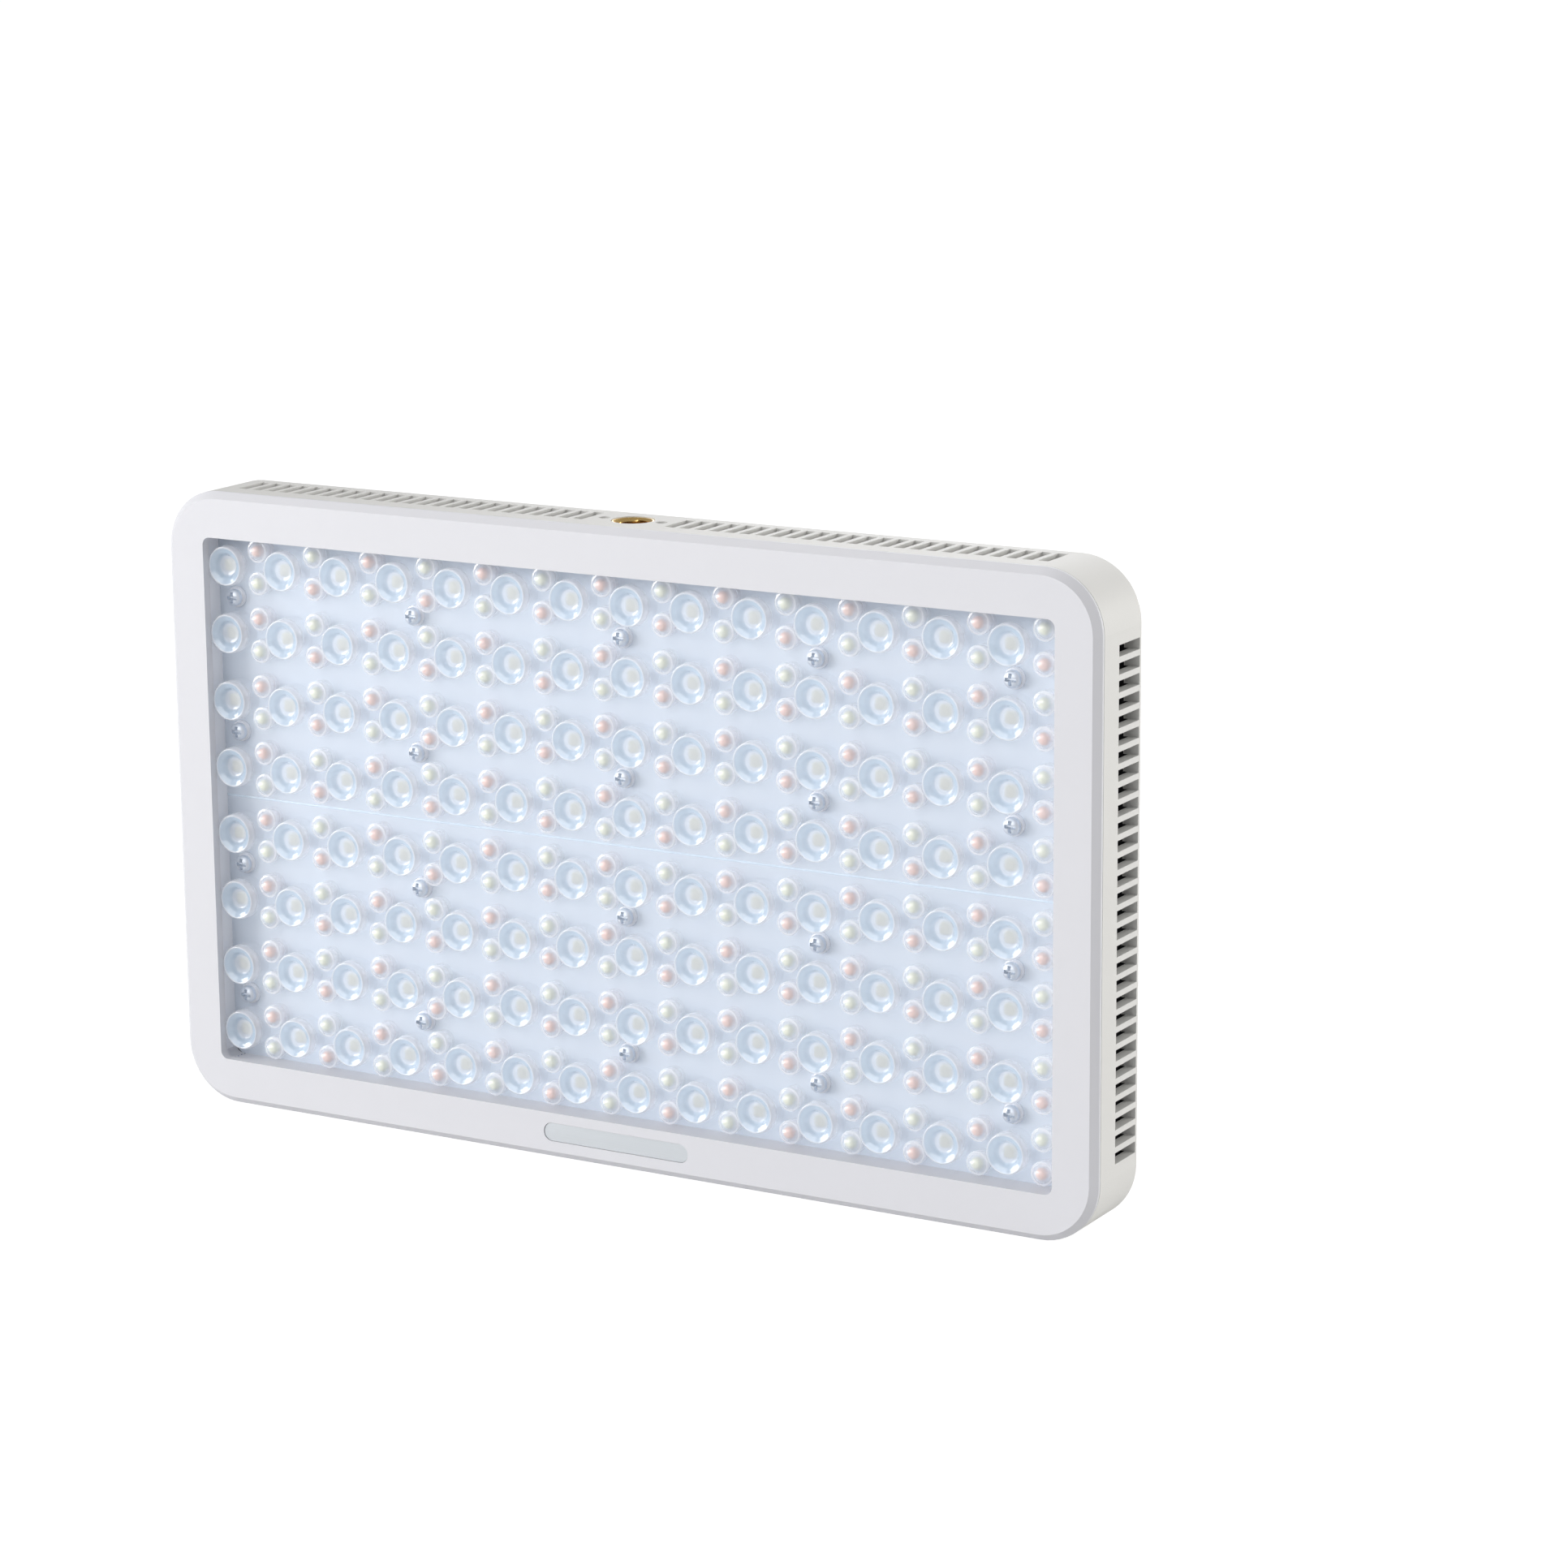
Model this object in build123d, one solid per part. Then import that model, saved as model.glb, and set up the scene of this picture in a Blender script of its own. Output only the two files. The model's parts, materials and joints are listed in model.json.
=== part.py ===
from build123d import *
import os
from math import cos, pi, radians, sin, sqrt

# LED panel light for studio and location work, in millimetres.
# X runs across the panel, Y from the front face to the back, Z up.
# The origin is under the middle of the whole light, at the level of its bottom edge.
# Places along the depth are given as t, the distance behind the front face.

os.makedirs("parts", exist_ok=True)

# whole light
width = 260.0
height = 158.4
depth = 48.0
corner_radius = 15.0
rim_depth = 22.5
cover_rear = 40.0
mid_z = height / 2

# front bezel
bezel_thickness = 2.4
edge_chamfer = 1.7
window_width = 237.6
window_height = 135.2
window_radius = 2.0
well_width = 239.8
well_height = 136.2
well_wall = 1.4
parting_gap = 0.2
lip_thickness = 1.4
lip_depth = 3.4

# badge recess on the lower bezel
badge_length = 41.3
badge_height = 4.7
badge_recess = 0.7
badge_thickness = 0.5
badge_drop = 72.5
badge_gap = 0.1
round_end = 0.02

# lens plates
lens_columns = 14
lens_rows = 8
column_pitch = 16.88
row_pitch = 17.2
first_column_x = -column_pitch * (lens_columns - 0.5) / 2
main_lens_radius = 5.35
main_lens_front = 2.0
main_lens_rim_radius = 4.5
main_lens_shoulder = 3.2
cup_mouth_radius = 4.1
cup_floor_radius = 2.6
cup_depth = 2.4
small_lens_radius = 3.05
small_lens_front = 2.3
small_lens_offset = 4.1
sheet_front = 8.0
sheet_rear = 10.0
optic_width = 242.0
optic_height = 138.4
optic_radius = 6.0
seam_gap = 0.3
lens_embed = 0.5

# screws that hold the lens plates
lens_screw_columns = (-114.4, -60.2, -0.2, 53.4, 104.9)
lens_screw_head_radius = 2.1
lens_screw_head_front = 5.2
lens_boss_front = 7.0
lens_boss_radius = 2.7
m25_radius = 1.25
m25_clearance = 1.4
lens_screw_tip = 18.2

# light-emitting stack behind the lenses
board_front = 14.0
board_thickness = 1.6
board_rear = board_front + board_thickness
pad_thickness = 0.4
sink_front = board_rear + pad_thickness
sink_base = 2.5
sink_rear = sink_front + sink_base
fin_rear = 24.0
fin_thickness = 1.6
fin_pitch = 8.0
fin_zone_width = 160.0
fin_zone_height = 116.0
main_emitter_size = 3.5
main_emitter_height = 1.0
small_emitter_size = 2.8
small_emitter_height = 0.8
spacer_radius = 2.6
spacer_frame_wall = 1.2

# rear housing
wall = 2.8
back_wall = 2.2
housing_edge_radius = 1.2
housing_opening_width = 172.0
housing_opening_height = 122.0
housing_opening_z = 73.0

# ventilation slots in the rim
vent_pitch = 4.12
vent_opening = 2.7
side_vent_span = (10.1, 20.8)
top_vent_span = (7.9, 18.4)
side_vent_count = 30
top_vent_count = 25
top_vent_first = 12.9

# threaded inserts, top and bottom
insert_t = 12.7
insert_radius = 5.3
insert_bore = 4.0
insert_length = 9.0
insert_inset = 0.2
insert_boss_width = 23.0
insert_boss_front = 6.2
locating_hole_x = 8.0
locating_hole_radius = 1.5
locating_hole_depth = 4.0

# screws through the back of the housing
bezel_screw_x = 121.3
bezel_screw_drop = 70.3
bezel_boss_radius = 2.4
bezel_boss_rear = 12.0
bezel_screw_tip = 5.0
m2_radius = 1.0
m2_clearance = 1.15
sink_screw_x = 107.0
sink_screw_drop = 45.0
rear_head_radius = 2.4
rear_head_height = 1.4

# rear cover
cover_width = 196.0
cover_height = 146.0
cover_radius = 8.0
cover_wall = 2.2
cover_edge_radius = 2.0
cover_boss_x = 92.2
cover_boss_radius = 3.4
cover_boss_low = 8.0
cover_boss_high = 138.0
cover_side_vents = 14

# control panel on the rear cover
panel_width = 62.0
panel_height = 70.0
panel_z = 105.0
panel_recess = 1.0
panel_ledge = 3.0
panel_gap = 0.2
window_glass_width = 46.0
window_glass_height = 26.0
window_glass_thickness = 0.6
window_z = 122.0
window_ledge = 2.0
button_z = 99.0
button_pitch = 14.0
button_radius = 4.0
button_flange_radius = 4.7
button_clearance = 0.2
button_stand = 1.2
button_names = ("menu_button", "mode_button", "effects_button", "wireless_button")
knob_z = 82.0
knob_x = 15.0
knob_radius = 8.5
knob_gap = 0.6
knob_flutes = 20
shaft_radius = 3.0
shaft_running_gap = 0.05
knob_names = ("intensity", "colour")

# control board
control_board_front = 32.0
control_board_width = 69.0
control_board_height = 72.0
control_post_x = 31.0
control_post_radius = 2.3
control_post_drop = 32.5
encoder_size = 12.0
encoder_rear = 37.4
tact_size = 6.0
tact_height = 1.4
lcd_height = 4.0

# cooling fan
fan_z = 37.0
fan_size = 50.0
fan_front = 27.8
fan_bore = 23.4
fan_hub_radius = 11.0
fan_tip_radius = 22.4
fan_blades = 7
fan_hole_offset = 20.0
fan_base_thickness = 1.6
fan_tube_radius = 3.0
fan_shaft_radius = 1.0
m3_radius = 1.5

# battery plates
plate_x = 66.0
plate_z = 84.0
plate_width = 41.0
plate_height = 70.0
plate_base = 3.0
rail_height = 4.6
rail_thickness = 1.5
rail_lip = 1.2
lip_height = 1.0
rail_length = 24.0
terminal_width = 24.0
terminal_height = 6.0
blade_spacing = 7.0
blade_length = 6.0
latch_drop = 29.0
latch_width = 8.0
latch_height = 5.0
latch_gap = 0.2
latch_travel = 2.4

# boards, sockets and switch inside the rear cover
power_board_front = 26.0
power_board_width = 60.0
power_board_height = 112.0
power_board_x = 60.0
standoff_x = (36.0, 80.0)
standoff_z = (24.0, 122.0)
standoff_radius = 3.0
socket_z = 26.0
dc_jack_x = -66.0
dc_body_radius = 5.2
dc_bore_radius = 2.8
dc_pin_radius = 1.0
usb_x = -44.0
usb_width = 8.9
usb_height = 3.3
rocker_x = 66.0
rocker_body_width = 19.0
rocker_body_height = 13.0
rocker_flange = 1.5
rocker_pivot_t = 39.0
rocker_pin_radius = 1.0
rocker_rest_tilt = 8.0
ribbon_x = 60.0
ribbon_drop = 61.0
ribbon_width = 8.0
ribbon_thickness = 1.2
lead_width = 10.0


def back(t):
    """Y of a place t behind the front face."""
    return t - depth / 2


def slab(slab_width, slab_height, t0, t1, x=0.0, z=mid_z, radius=0.0):
    """A plate across the light, from t0 to t1, with rounded corners if a radius is given."""
    outline = RectangleRounded(slab_width, slab_height, radius) if radius else Rectangle(slab_width, slab_height)
    plane = Plane(origin=(x, back(t0), z), x_dir=(1, 0, 0), z_dir=(0, 1, 0))
    return extrude(plane * outline, amount=t1 - t0)


def rod(radius, t0, t1, x, z):
    """A round bar along the depth."""
    return Pos(x, back((t0 + t1) / 2), z) * Rot(90, 0, 0) * Cylinder(radius, t1 - t0)


def cone(front_radius, rear_radius, t0, t1, x, z):
    """A taper along the depth, front_radius at t0 and rear_radius at t1."""
    return Pos(x, back((t0 + t1) / 2), z) * Rot(90, 0, 0) * Cone(rear_radius, front_radius, t1 - t0)


def pillar(radius, z0, z1, x, t):
    """A round bar standing up along Z."""
    return Pos(x, back(t), (z0 + z1) / 2) * Cylinder(radius, z1 - z0)


def machine_screw(x, z, head_outer, head_inner, tip, head_radius, shank_radius):
    """A screw along the depth, its head from head_outer to head_inner and its shank to tip, cross slot cut."""
    toward_tip = 1 if tip > head_inner else -1
    slot_depth = 0.5 * abs(head_inner - head_outer)
    slot_floor = head_outer + toward_tip * slot_depth
    head = rod(head_radius, min(head_outer, head_inner), max(head_outer, head_inner), x, z)
    shank = rod(shank_radius, min(head_inner, tip), max(head_inner, tip), x, z)
    slot_span = (min(head_outer, slot_floor), max(head_outer, slot_floor))
    slot_length = 1.2 * head_radius
    slot_width = 0.25 * head_radius
    slots = [
        slab(slot_length, slot_width, *slot_span, x=x, z=z),
        slab(slot_width, slot_length, *slot_span, x=x, z=z),
    ]
    return head + shank - slots


def mirrored(value):
    """The pair of places either side of the middle."""
    return (-value, value)


def corner_places(x, drop):
    """Four places, mirrored across the middle of the panel."""
    return [(sx, mid_z + sz) for sx in mirrored(x) for sz in mirrored(drop)]


def row_heights():
    """Height of each row of lenses, top row first."""
    return [mid_z + row_pitch * ((lens_rows - 1) / 2 - row) for row in range(lens_rows)]


def lens_places():
    """Column number and place of every main lens."""
    return [
        (column, first_column_x + column_pitch * column, z)
        for z in row_heights()
        for column in range(lens_columns)
    ]


def small_lens_places():
    """Place of every small lens, and whether its emitter is the warm one."""
    places = []
    for column, x, z in lens_places():
        for side in (1, -1):
            warm = (side == 1) == (column % 2 == 0)
            places.append((x + column_pitch / 2, z + side * small_lens_offset, warm))
    return places


def lens_screw_places():
    """Screws stand between rows 1-2, 3-4, 5-6 and 7-8."""
    heights = [mid_z + offset * row_pitch for offset in (3, 1, -1, -3)]
    return [(x, z) for z in heights for x in lens_screw_columns]


def front_bezel():
    """Flat frame with a bevelled edge, a deep wall round the window and a lip inside the housing."""
    frame = slab(width, height, 0, bezel_thickness, radius=corner_radius)
    front_face = frame.faces().sort_by(Axis.Y)[0]
    frame = chamfer(front_face.outer_wire().edges(), edge_chamfer)
    lip_outer = wall + parting_gap
    lip_inner = lip_outer + lip_thickness
    lip = slab(
        width - 2 * lip_outer,
        height - 2 * lip_outer,
        bezel_thickness,
        bezel_thickness + lip_depth,
        radius=corner_radius - lip_outer,
    ) - slab(
        width - 2 * lip_inner,
        height - 2 * lip_inner,
        bezel_thickness,
        bezel_thickness + lip_depth,
        radius=corner_radius - lip_inner,
    )
    well = slab(
        well_width + 2 * well_wall,
        well_height + 2 * well_wall,
        bezel_thickness,
        sheet_front,
        radius=window_radius + well_wall,
    )
    bosses = [rod(bezel_boss_radius, bezel_thickness, bezel_boss_rear, x, z)
              for x, z in corner_places(bezel_screw_x, bezel_screw_drop)]
    openings = [
        slab(window_width, window_height, -1, bezel_thickness + 1, radius=window_radius),
        slab(well_width, well_height, bezel_thickness, sheet_front + 1, radius=window_radius),
        slab(badge_length, badge_height, -1, badge_recess, z=mid_z - badge_drop, radius=badge_height / 2 - round_end),
    ]
    pilots = [rod(m2_radius, bezel_screw_tip, bezel_boss_rear + 1, x, z)
              for x, z in corner_places(bezel_screw_x, bezel_screw_drop)]
    return frame + [lip, well] + bosses - openings - pilots


def badge_plate():
    """Plain silver pill laid in the recess of the lower bezel."""
    badge_radius = badge_height / 2 - badge_gap - round_end
    return slab(
        badge_length - 2 * badge_gap,
        badge_height - 2 * badge_gap,
        badge_recess - badge_thickness,
        badge_recess,
        z=mid_z - badge_drop,
        radius=badge_radius,
    )


def main_lens(x, z):
    """Round barrel with a tapered rim and a cup sunk in its front."""
    barrel = rod(main_lens_radius, main_lens_shoulder, sheet_front + lens_embed, x, z)
    taper = cone(main_lens_rim_radius, main_lens_radius, main_lens_front, main_lens_shoulder, x, z)
    cup_end = main_lens_front + cup_depth
    cup = cone(cup_mouth_radius, cup_floor_radius, main_lens_front, cup_end, x, z)
    return barrel + taper - cup


def small_lens(x, z):
    """Short round barrel with a tapered nose."""
    nose_end = small_lens_front + small_lens_radius / 2
    barrel = rod(small_lens_radius, nose_end, sheet_front + lens_embed, x, z)
    nose = cone(small_lens_radius * 0.6, small_lens_radius, small_lens_front, nose_end, x, z)
    return barrel + nose


def lens_plate(side):
    """Half of the clear lens sheet: side 1 is the upper half, side -1 the lower."""
    half_height = (optic_height - seam_gap) / 2
    centre_z = mid_z + side * (seam_gap + half_height) / 2
    sheet = slab(optic_width, optic_height, sheet_front, sheet_rear, radius=optic_radius)
    keep = slab(optic_width + 1, half_height, sheet_front - 1, sheet_rear + 1, z=centre_z + side * seam_gap / 4)
    lenses = [main_lens(x, z) for column, x, z in lens_places() if (z - mid_z) * side > 0]
    lenses += [small_lens(x, z) for x, z, warm in small_lens_places() if (z - mid_z) * side > 0]
    places = [(x, z) for x, z in lens_screw_places() if (z - mid_z) * side > 0]
    bosses = [rod(lens_boss_radius, lens_boss_front, sheet_front + lens_embed, x, z) for x, z in places]
    holes = [rod(m25_clearance, lens_boss_front - 1, sheet_rear + 1, x, z) for x, z in places]
    return (sheet & keep) + lenses + bosses - holes


def lens_screws():
    """Screws that hold the lens plates and the boards to the heat sink."""
    return [
        machine_screw(x, z, lens_screw_head_front, lens_boss_front, lens_screw_tip, lens_screw_head_radius, m25_radius)
        for x, z in lens_screw_places()
    ]


def lens_spacers():
    """Collars round the screws, and a frame round the edge, that keep the lens plates off the boards."""
    outer = slab(optic_width, optic_height, sheet_rear, board_front, radius=optic_radius)
    inner = slab(
        optic_width - 2 * spacer_frame_wall,
        optic_height - 2 * spacer_frame_wall,
        sheet_rear - 1,
        board_front + 1,
        radius=optic_radius - spacer_frame_wall,
    )
    collars = [
        rod(spacer_radius, sheet_rear, board_front, x, z) - rod(m25_clearance, sheet_rear - 1, board_front + 1, x, z)
        for x, z in lens_screw_places()
    ]
    return [outer - inner] + collars


def half_plate(side, t0, t1, hole_radius):
    """Half of a plate of the light-emitting stack, with the holes for the screws and the cable."""
    half_height = (optic_height - seam_gap) / 2
    whole = slab(optic_width, optic_height, t0, t1, radius=optic_radius)
    centre_z = mid_z + side * (seam_gap + half_height) / 2
    keep = slab(optic_width + 1, half_height, t0 - 1, t1 + 1, z=centre_z + side * seam_gap / 4)
    holes = [rod(hole_radius, t0 - 1, t1 + 1, x, z) for x, z in lens_screw_places() if (z - mid_z) * side > 0]
    return (whole & keep) - holes


def led_board(side):
    """Half of the white board that carries the emitters."""
    return half_plate(side, board_front, board_rear, m25_clearance)


def thermal_pads():
    """Soft pad behind each board, open where the cable plugs in."""
    windows = [slab(ribbon_width + 4, ribbon_width, board_rear - 1, sink_front + 1, x=x, z=ribbon_z())
               for x in mirrored(ribbon_x)]
    lower = half_plate(-1, board_rear, sink_front, m25_clearance) - windows
    return [half_plate(1, board_rear, sink_front, m25_clearance), lower]


def ribbon_z():
    """Height of the cables between the power boards and the lower emitter board."""
    return mid_z - ribbon_drop


def main_emitters():
    """One square emitter behind each main lens."""
    return [
        slab(main_emitter_size, main_emitter_size, board_front - main_emitter_height, board_front, x=x, z=z)
        for column, x, z in lens_places()
    ]


def small_emitters(warm_wanted):
    """One emitter of the wanted tint behind each small lens of that tint."""
    return [
        slab(small_emitter_size, small_emitter_size, board_front - small_emitter_height, board_front, x=x, z=z)
        for x, z, warm in small_lens_places()
        if warm == warm_wanted
    ]


def standoff_places():
    """Standoffs of both power boards."""
    return [(side * x, z) for side in (-1, 1) for x in standoff_x for z in standoff_z]


def heat_sink():
    """Aluminium plate behind the boards, with upright fins where the rear cover leaves room."""
    base = slab(optic_width, optic_height, sink_front, sink_rear, radius=optic_radius)
    count = int(fin_zone_width / fin_pitch) + 1
    fins = [
        slab(
            fin_thickness,
            fin_zone_height,
            sink_rear - 0.5,
            fin_rear,
            x=(index - (count - 1) / 2) * fin_pitch,
            z=housing_opening_z,
        )
        for index in range(count)
    ]
    landings = [rod(standoff_radius + 1, sink_rear, fin_rear + 1, x, z) for x, z in standoff_places()]
    holes = [rod(m25_radius, sink_front - 1, lens_screw_tip, x, z) for x, z in lens_screw_places()]
    side_holes = [rod(m2_radius, sink_front - 1, sink_rear + 1, x, z)
                  for x, z in corner_places(sink_screw_x, sink_screw_drop)]
    windows = [slab(ribbon_width + 4, ribbon_width, sink_front - 1, fin_rear + 1, x=x, z=ribbon_z())
               for x in mirrored(ribbon_x)]
    return base + fins - landings - holes - side_holes - windows


def rim_vents():
    """Slots along both sides, the top and the bottom, running with the depth."""
    cutters = []
    for index in range(side_vent_count):
        z = mid_z + (index - (side_vent_count - 1) / 2) * vent_pitch
        for x in mirrored((width - wall) / 2):
            cutters.append(slab(wall + 2, vent_opening, *side_vent_span, x=x, z=z))
    for index in range(top_vent_count):
        for x in mirrored(top_vent_first + index * vent_pitch):
            for z in (wall / 2, height - wall / 2):
                cutters.append(slab(vent_opening, wall + 2, *top_vent_span, x=x, z=z))
    return cutters


def rear_housing():
    """Rim and back wall in one moulding, with insert bosses, screw bosses and ventilation slots."""
    front = bezel_thickness + parting_gap
    shell = slab(width, height, front, rim_depth, radius=corner_radius)
    rear_face = shell.faces().sort_by(Axis.Y)[-1]
    shell = fillet(rear_face.outer_wire().edges(), housing_edge_radius)
    cavity = slab(
        width - 2 * wall, height - 2 * wall, front - 1, rim_depth - back_wall, radius=corner_radius - wall
    )
    opening = slab(
        housing_opening_width, housing_opening_height, front, rim_depth + 1, z=housing_opening_z, radius=6
    )
    inner = rim_depth - back_wall + 0.5
    boss_length = insert_length + insert_inset
    boss_y = back((insert_boss_front + inner) / 2)
    boss_depth = inner - insert_boss_front
    boss_height = boss_length - wall + 0.5
    insert_bosses = [
        Pos(0, boss_y, z) * Box(insert_boss_width, boss_depth, boss_height)
        for z in (boss_length - boss_height / 2, height - boss_length + boss_height / 2)
    ]
    screw_bosses = [rod(bezel_boss_radius, bezel_boss_rear, inner, x, z)
                    for x, z in corner_places(bezel_screw_x, bezel_screw_drop)]
    sink_bosses = [rod(bezel_boss_radius, sink_rear, inner, x, z)
                   for x, z in corner_places(sink_screw_x, sink_screw_drop)]
    insert_holes = [pillar(insert_radius, z - boss_length - 1, z + boss_length + 1, 0, insert_t) for z in (0, height)]
    locating_holes = [
        pillar(locating_hole_radius, z - locating_hole_depth, z + locating_hole_depth, x, insert_t)
        for z in (0, height)
        for x in mirrored(locating_hole_x)
    ]
    shanks = corner_places(bezel_screw_x, bezel_screw_drop) + corner_places(sink_screw_x, sink_screw_drop)
    shank_holes = [rod(m2_clearance, bezel_boss_rear - 1, rim_depth + 1, x, z) for x, z in shanks]
    cover_pilots = [rod(m25_radius, rim_depth - back_wall - 1, rim_depth + 1, x, z) for x, z in cover_boss_places()]
    body = (shell - cavity - opening) + insert_bosses + screw_bosses + sink_bosses
    return body - insert_holes - locating_holes - shank_holes - cover_pilots - rim_vents()


def thread_insert(bottom_z):
    """Brass bush with a through bore, standing in the housing's boss; its outside has a grip groove."""
    tube = pillar(insert_radius, bottom_z, bottom_z + insert_length, 0, insert_t)
    middle = bottom_z + insert_length / 2
    groove = pillar(insert_radius + 1, middle - 0.75, middle + 0.75, 0, insert_t) - pillar(
        insert_radius - 0.6, middle - 1, middle + 1, 0, insert_t
    )
    return tube - groove - pillar(insert_bore, bottom_z - 1, bottom_z + insert_length + 1, 0, insert_t)


def cover_boss_places():
    """Four screw places of the rear cover."""
    return [(x, z) for x in mirrored(cover_boss_x) for z in (cover_boss_low, cover_boss_high)]


def bezel_screws():
    """Long screws from the back of the housing into the bezel."""
    head_inner = rim_depth
    return [
        machine_screw(x, z, head_inner + rear_head_height, head_inner, bezel_screw_tip, rear_head_radius, m2_radius)
        for x, z in corner_places(bezel_screw_x, bezel_screw_drop)
    ]


def sink_screws():
    """Screws from the back of the housing into the heat sink."""
    return [
        machine_screw(x, z, rim_depth + rear_head_height, rim_depth, sink_front, rear_head_radius, m2_radius)
        for x, z in corner_places(sink_screw_x, sink_screw_drop)
    ]


def fan_grille():
    """Level slots that fill a circle over the fan."""
    slots = []
    reach = fan_bore - 1.0
    for index in range(-5, 6):
        offset = index * vent_pitch
        half = sqrt(reach * reach - offset * offset)
        slots.append(slab(2 * half, vent_opening, cover_rear - cover_wall - 1, cover_rear + 1, z=fan_z + offset))
    return slots


def rear_cover():
    """Box over the back of the light that holds the controls, the fan and the battery plates."""
    z = cover_height / 2
    inner_face = cover_rear - cover_wall
    shell = slab(cover_width, cover_height, rim_depth, cover_rear, z=z, radius=cover_radius)
    rear_face = shell.faces().sort_by(Axis.Y)[-1]
    shell = fillet(rear_face.outer_wire().edges(), cover_edge_radius)
    cavity = slab(
        cover_width - 2 * cover_wall,
        cover_height - 2 * cover_wall,
        rim_depth - 1,
        inner_face,
        z=z,
        radius=cover_radius - cover_wall,
    )
    bosses = [rod(cover_boss_radius, rim_depth, inner_face + 0.5, x, zb) for x, zb in cover_boss_places()]
    posts = [rod(control_post_radius, control_board_rear(), inner_face + 0.5, x, zp) for x, zp in control_post_places()]
    cutters = [rod(m25_clearance, rim_depth - 1, cover_rear + 1, x, zb) for x, zb in cover_boss_places()]
    cutters += [rod(m2_radius, control_board_rear() - 1, inner_face, x, zp) for x, zp in control_post_places()]
    cutters.append(slab(panel_width + 2 * panel_gap, panel_height + 2 * panel_gap,
                        cover_rear - panel_recess, cover_rear + 1, z=panel_z, radius=4 + panel_gap))
    cutters.append(slab(panel_width - 2 * panel_ledge, panel_height - 2 * panel_ledge,
                        inner_face - 1, cover_rear, z=panel_z, radius=2))
    cutters += fan_grille()
    cutters += [rod(m3_radius, inner_face - 1, cover_rear + 1, x, zf) for x, zf in fan_screw_places()]
    cutters += [slab(latch_width + 2 * latch_gap, latch_height + 2 * latch_gap, inner_face - 1, cover_rear + 1,
                     x=x, z=latch_z()) for x in mirrored(plate_x)]
    cutters += [slab(lead_width + 1, 2 * ribbon_thickness, inner_face - 1, cover_rear + 1,
                     x=x, z=terminal_z()) for x in mirrored(plate_x)]
    cutters += [rod(m2_radius, inner_face - 1, cover_rear + 1, x, zs) for x, zs in plate_screw_places()]
    cutters.append(rod(dc_body_radius, inner_face - 1, cover_rear + 1, dc_jack_x, socket_z))
    cutters.append(slab(usb_width + 1.2, usb_height + 1.2, inner_face - 1, cover_rear + 1, x=usb_x, z=socket_z, radius=2))
    cutters.append(slab(rocker_body_width, rocker_body_height, inner_face - 1, cover_rear + 1, x=rocker_x, z=socket_z))
    t_mid = back((rim_depth + inner_face) / 2)
    for index in range(cover_side_vents):
        zv = z + (index - (cover_side_vents - 1) / 2) * 2 * vent_pitch
        for side in (-1, 1):
            cutters.append(Pos(side * cover_width / 2, t_mid, zv) * Box(2 * cover_wall + 2, 8, vent_opening))
    return (shell - cavity) + bosses + posts - cutters


def control_board_rear():
    """Rear side of the control board."""
    return control_board_front + board_thickness


def control_post_places():
    """Screw places of the control board."""
    return [(x, panel_z + drop) for x in mirrored(control_post_x) for drop in mirrored(control_post_drop)]


def fan_screw_places():
    """Screw places of the fan."""
    return [(x, fan_z + z) for x in mirrored(fan_hole_offset) for z in mirrored(fan_hole_offset)]


def plate_screw_places():
    """Two screws hold each battery plate, one above the other."""
    return [(x, plate_z + z) for x in mirrored(plate_x) for z in (-12.0, 16.0)]


def latch_z():
    """Height of the battery release buttons."""
    return plate_z + latch_drop


def terminal_z():
    """Height of the terminal blocks at the foot of the battery plates."""
    return plate_z - (plate_height - terminal_height) / 2


def cover_screws():
    """Screws through the rear cover into the housing."""
    tip = rim_depth - back_wall
    return [
        machine_screw(x, z, cover_rear + rear_head_height, cover_rear, tip, rear_head_radius, m25_radius)
        for x, z in cover_boss_places()
    ]


def control_panel():
    """Face plate of the controls, seated in the cover, with holes for the window, buttons and shafts."""
    inner_face = cover_rear - cover_wall
    face = slab(panel_width, panel_height, cover_rear - panel_recess, cover_rear, z=panel_z, radius=4)
    plug = slab(
        panel_width - 2 * panel_ledge - 2 * panel_gap,
        panel_height - 2 * panel_ledge - 2 * panel_gap,
        inner_face,
        cover_rear - panel_recess,
        z=panel_z,
        radius=2 - panel_gap,
    )
    seat_front = cover_rear - window_glass_thickness
    cutters = [
        slab(window_glass_width, window_glass_height, seat_front, cover_rear + 1, z=window_z),
        slab(window_glass_width - 2 * window_ledge, window_glass_height - 2 * window_ledge,
             inner_face - 1, cover_rear, z=window_z),
    ]
    cutters += [rod(button_radius + button_clearance, inner_face - 1, cover_rear + 1, x, button_z)
                for x in button_places()]
    cutters += [rod(shaft_radius + 2 * button_clearance, inner_face - 1, cover_rear + 1, x, knob_z)
                for x in mirrored(knob_x)]
    return face + plug - cutters


def display_window():
    """Clear window over the display."""
    return slab(window_glass_width, window_glass_height, cover_rear - window_glass_thickness, cover_rear, z=window_z)


def lcd_module():
    """Display module on the control board."""
    rear = control_board_rear()
    return slab(window_glass_width - 1, window_glass_height - 1, rear, rear + lcd_height, z=window_z)


def control_board():
    """Board behind the control panel."""
    board = slab(control_board_width, control_board_height, control_board_front, control_board_rear(), z=panel_z)
    holes = [rod(m2_clearance, control_board_front - 1, control_board_rear() + 1, x, z)
             for x, z in control_post_places()]
    return board - holes


def control_board_screws():
    """Screws that hold the control board to the cover's posts."""
    head_outer = control_board_front - rear_head_height
    tip = cover_rear - cover_wall
    return [
        machine_screw(x, z, head_outer, control_board_front, tip, rear_head_radius, m2_radius)
        for x, z in control_post_places()
    ]


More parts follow.
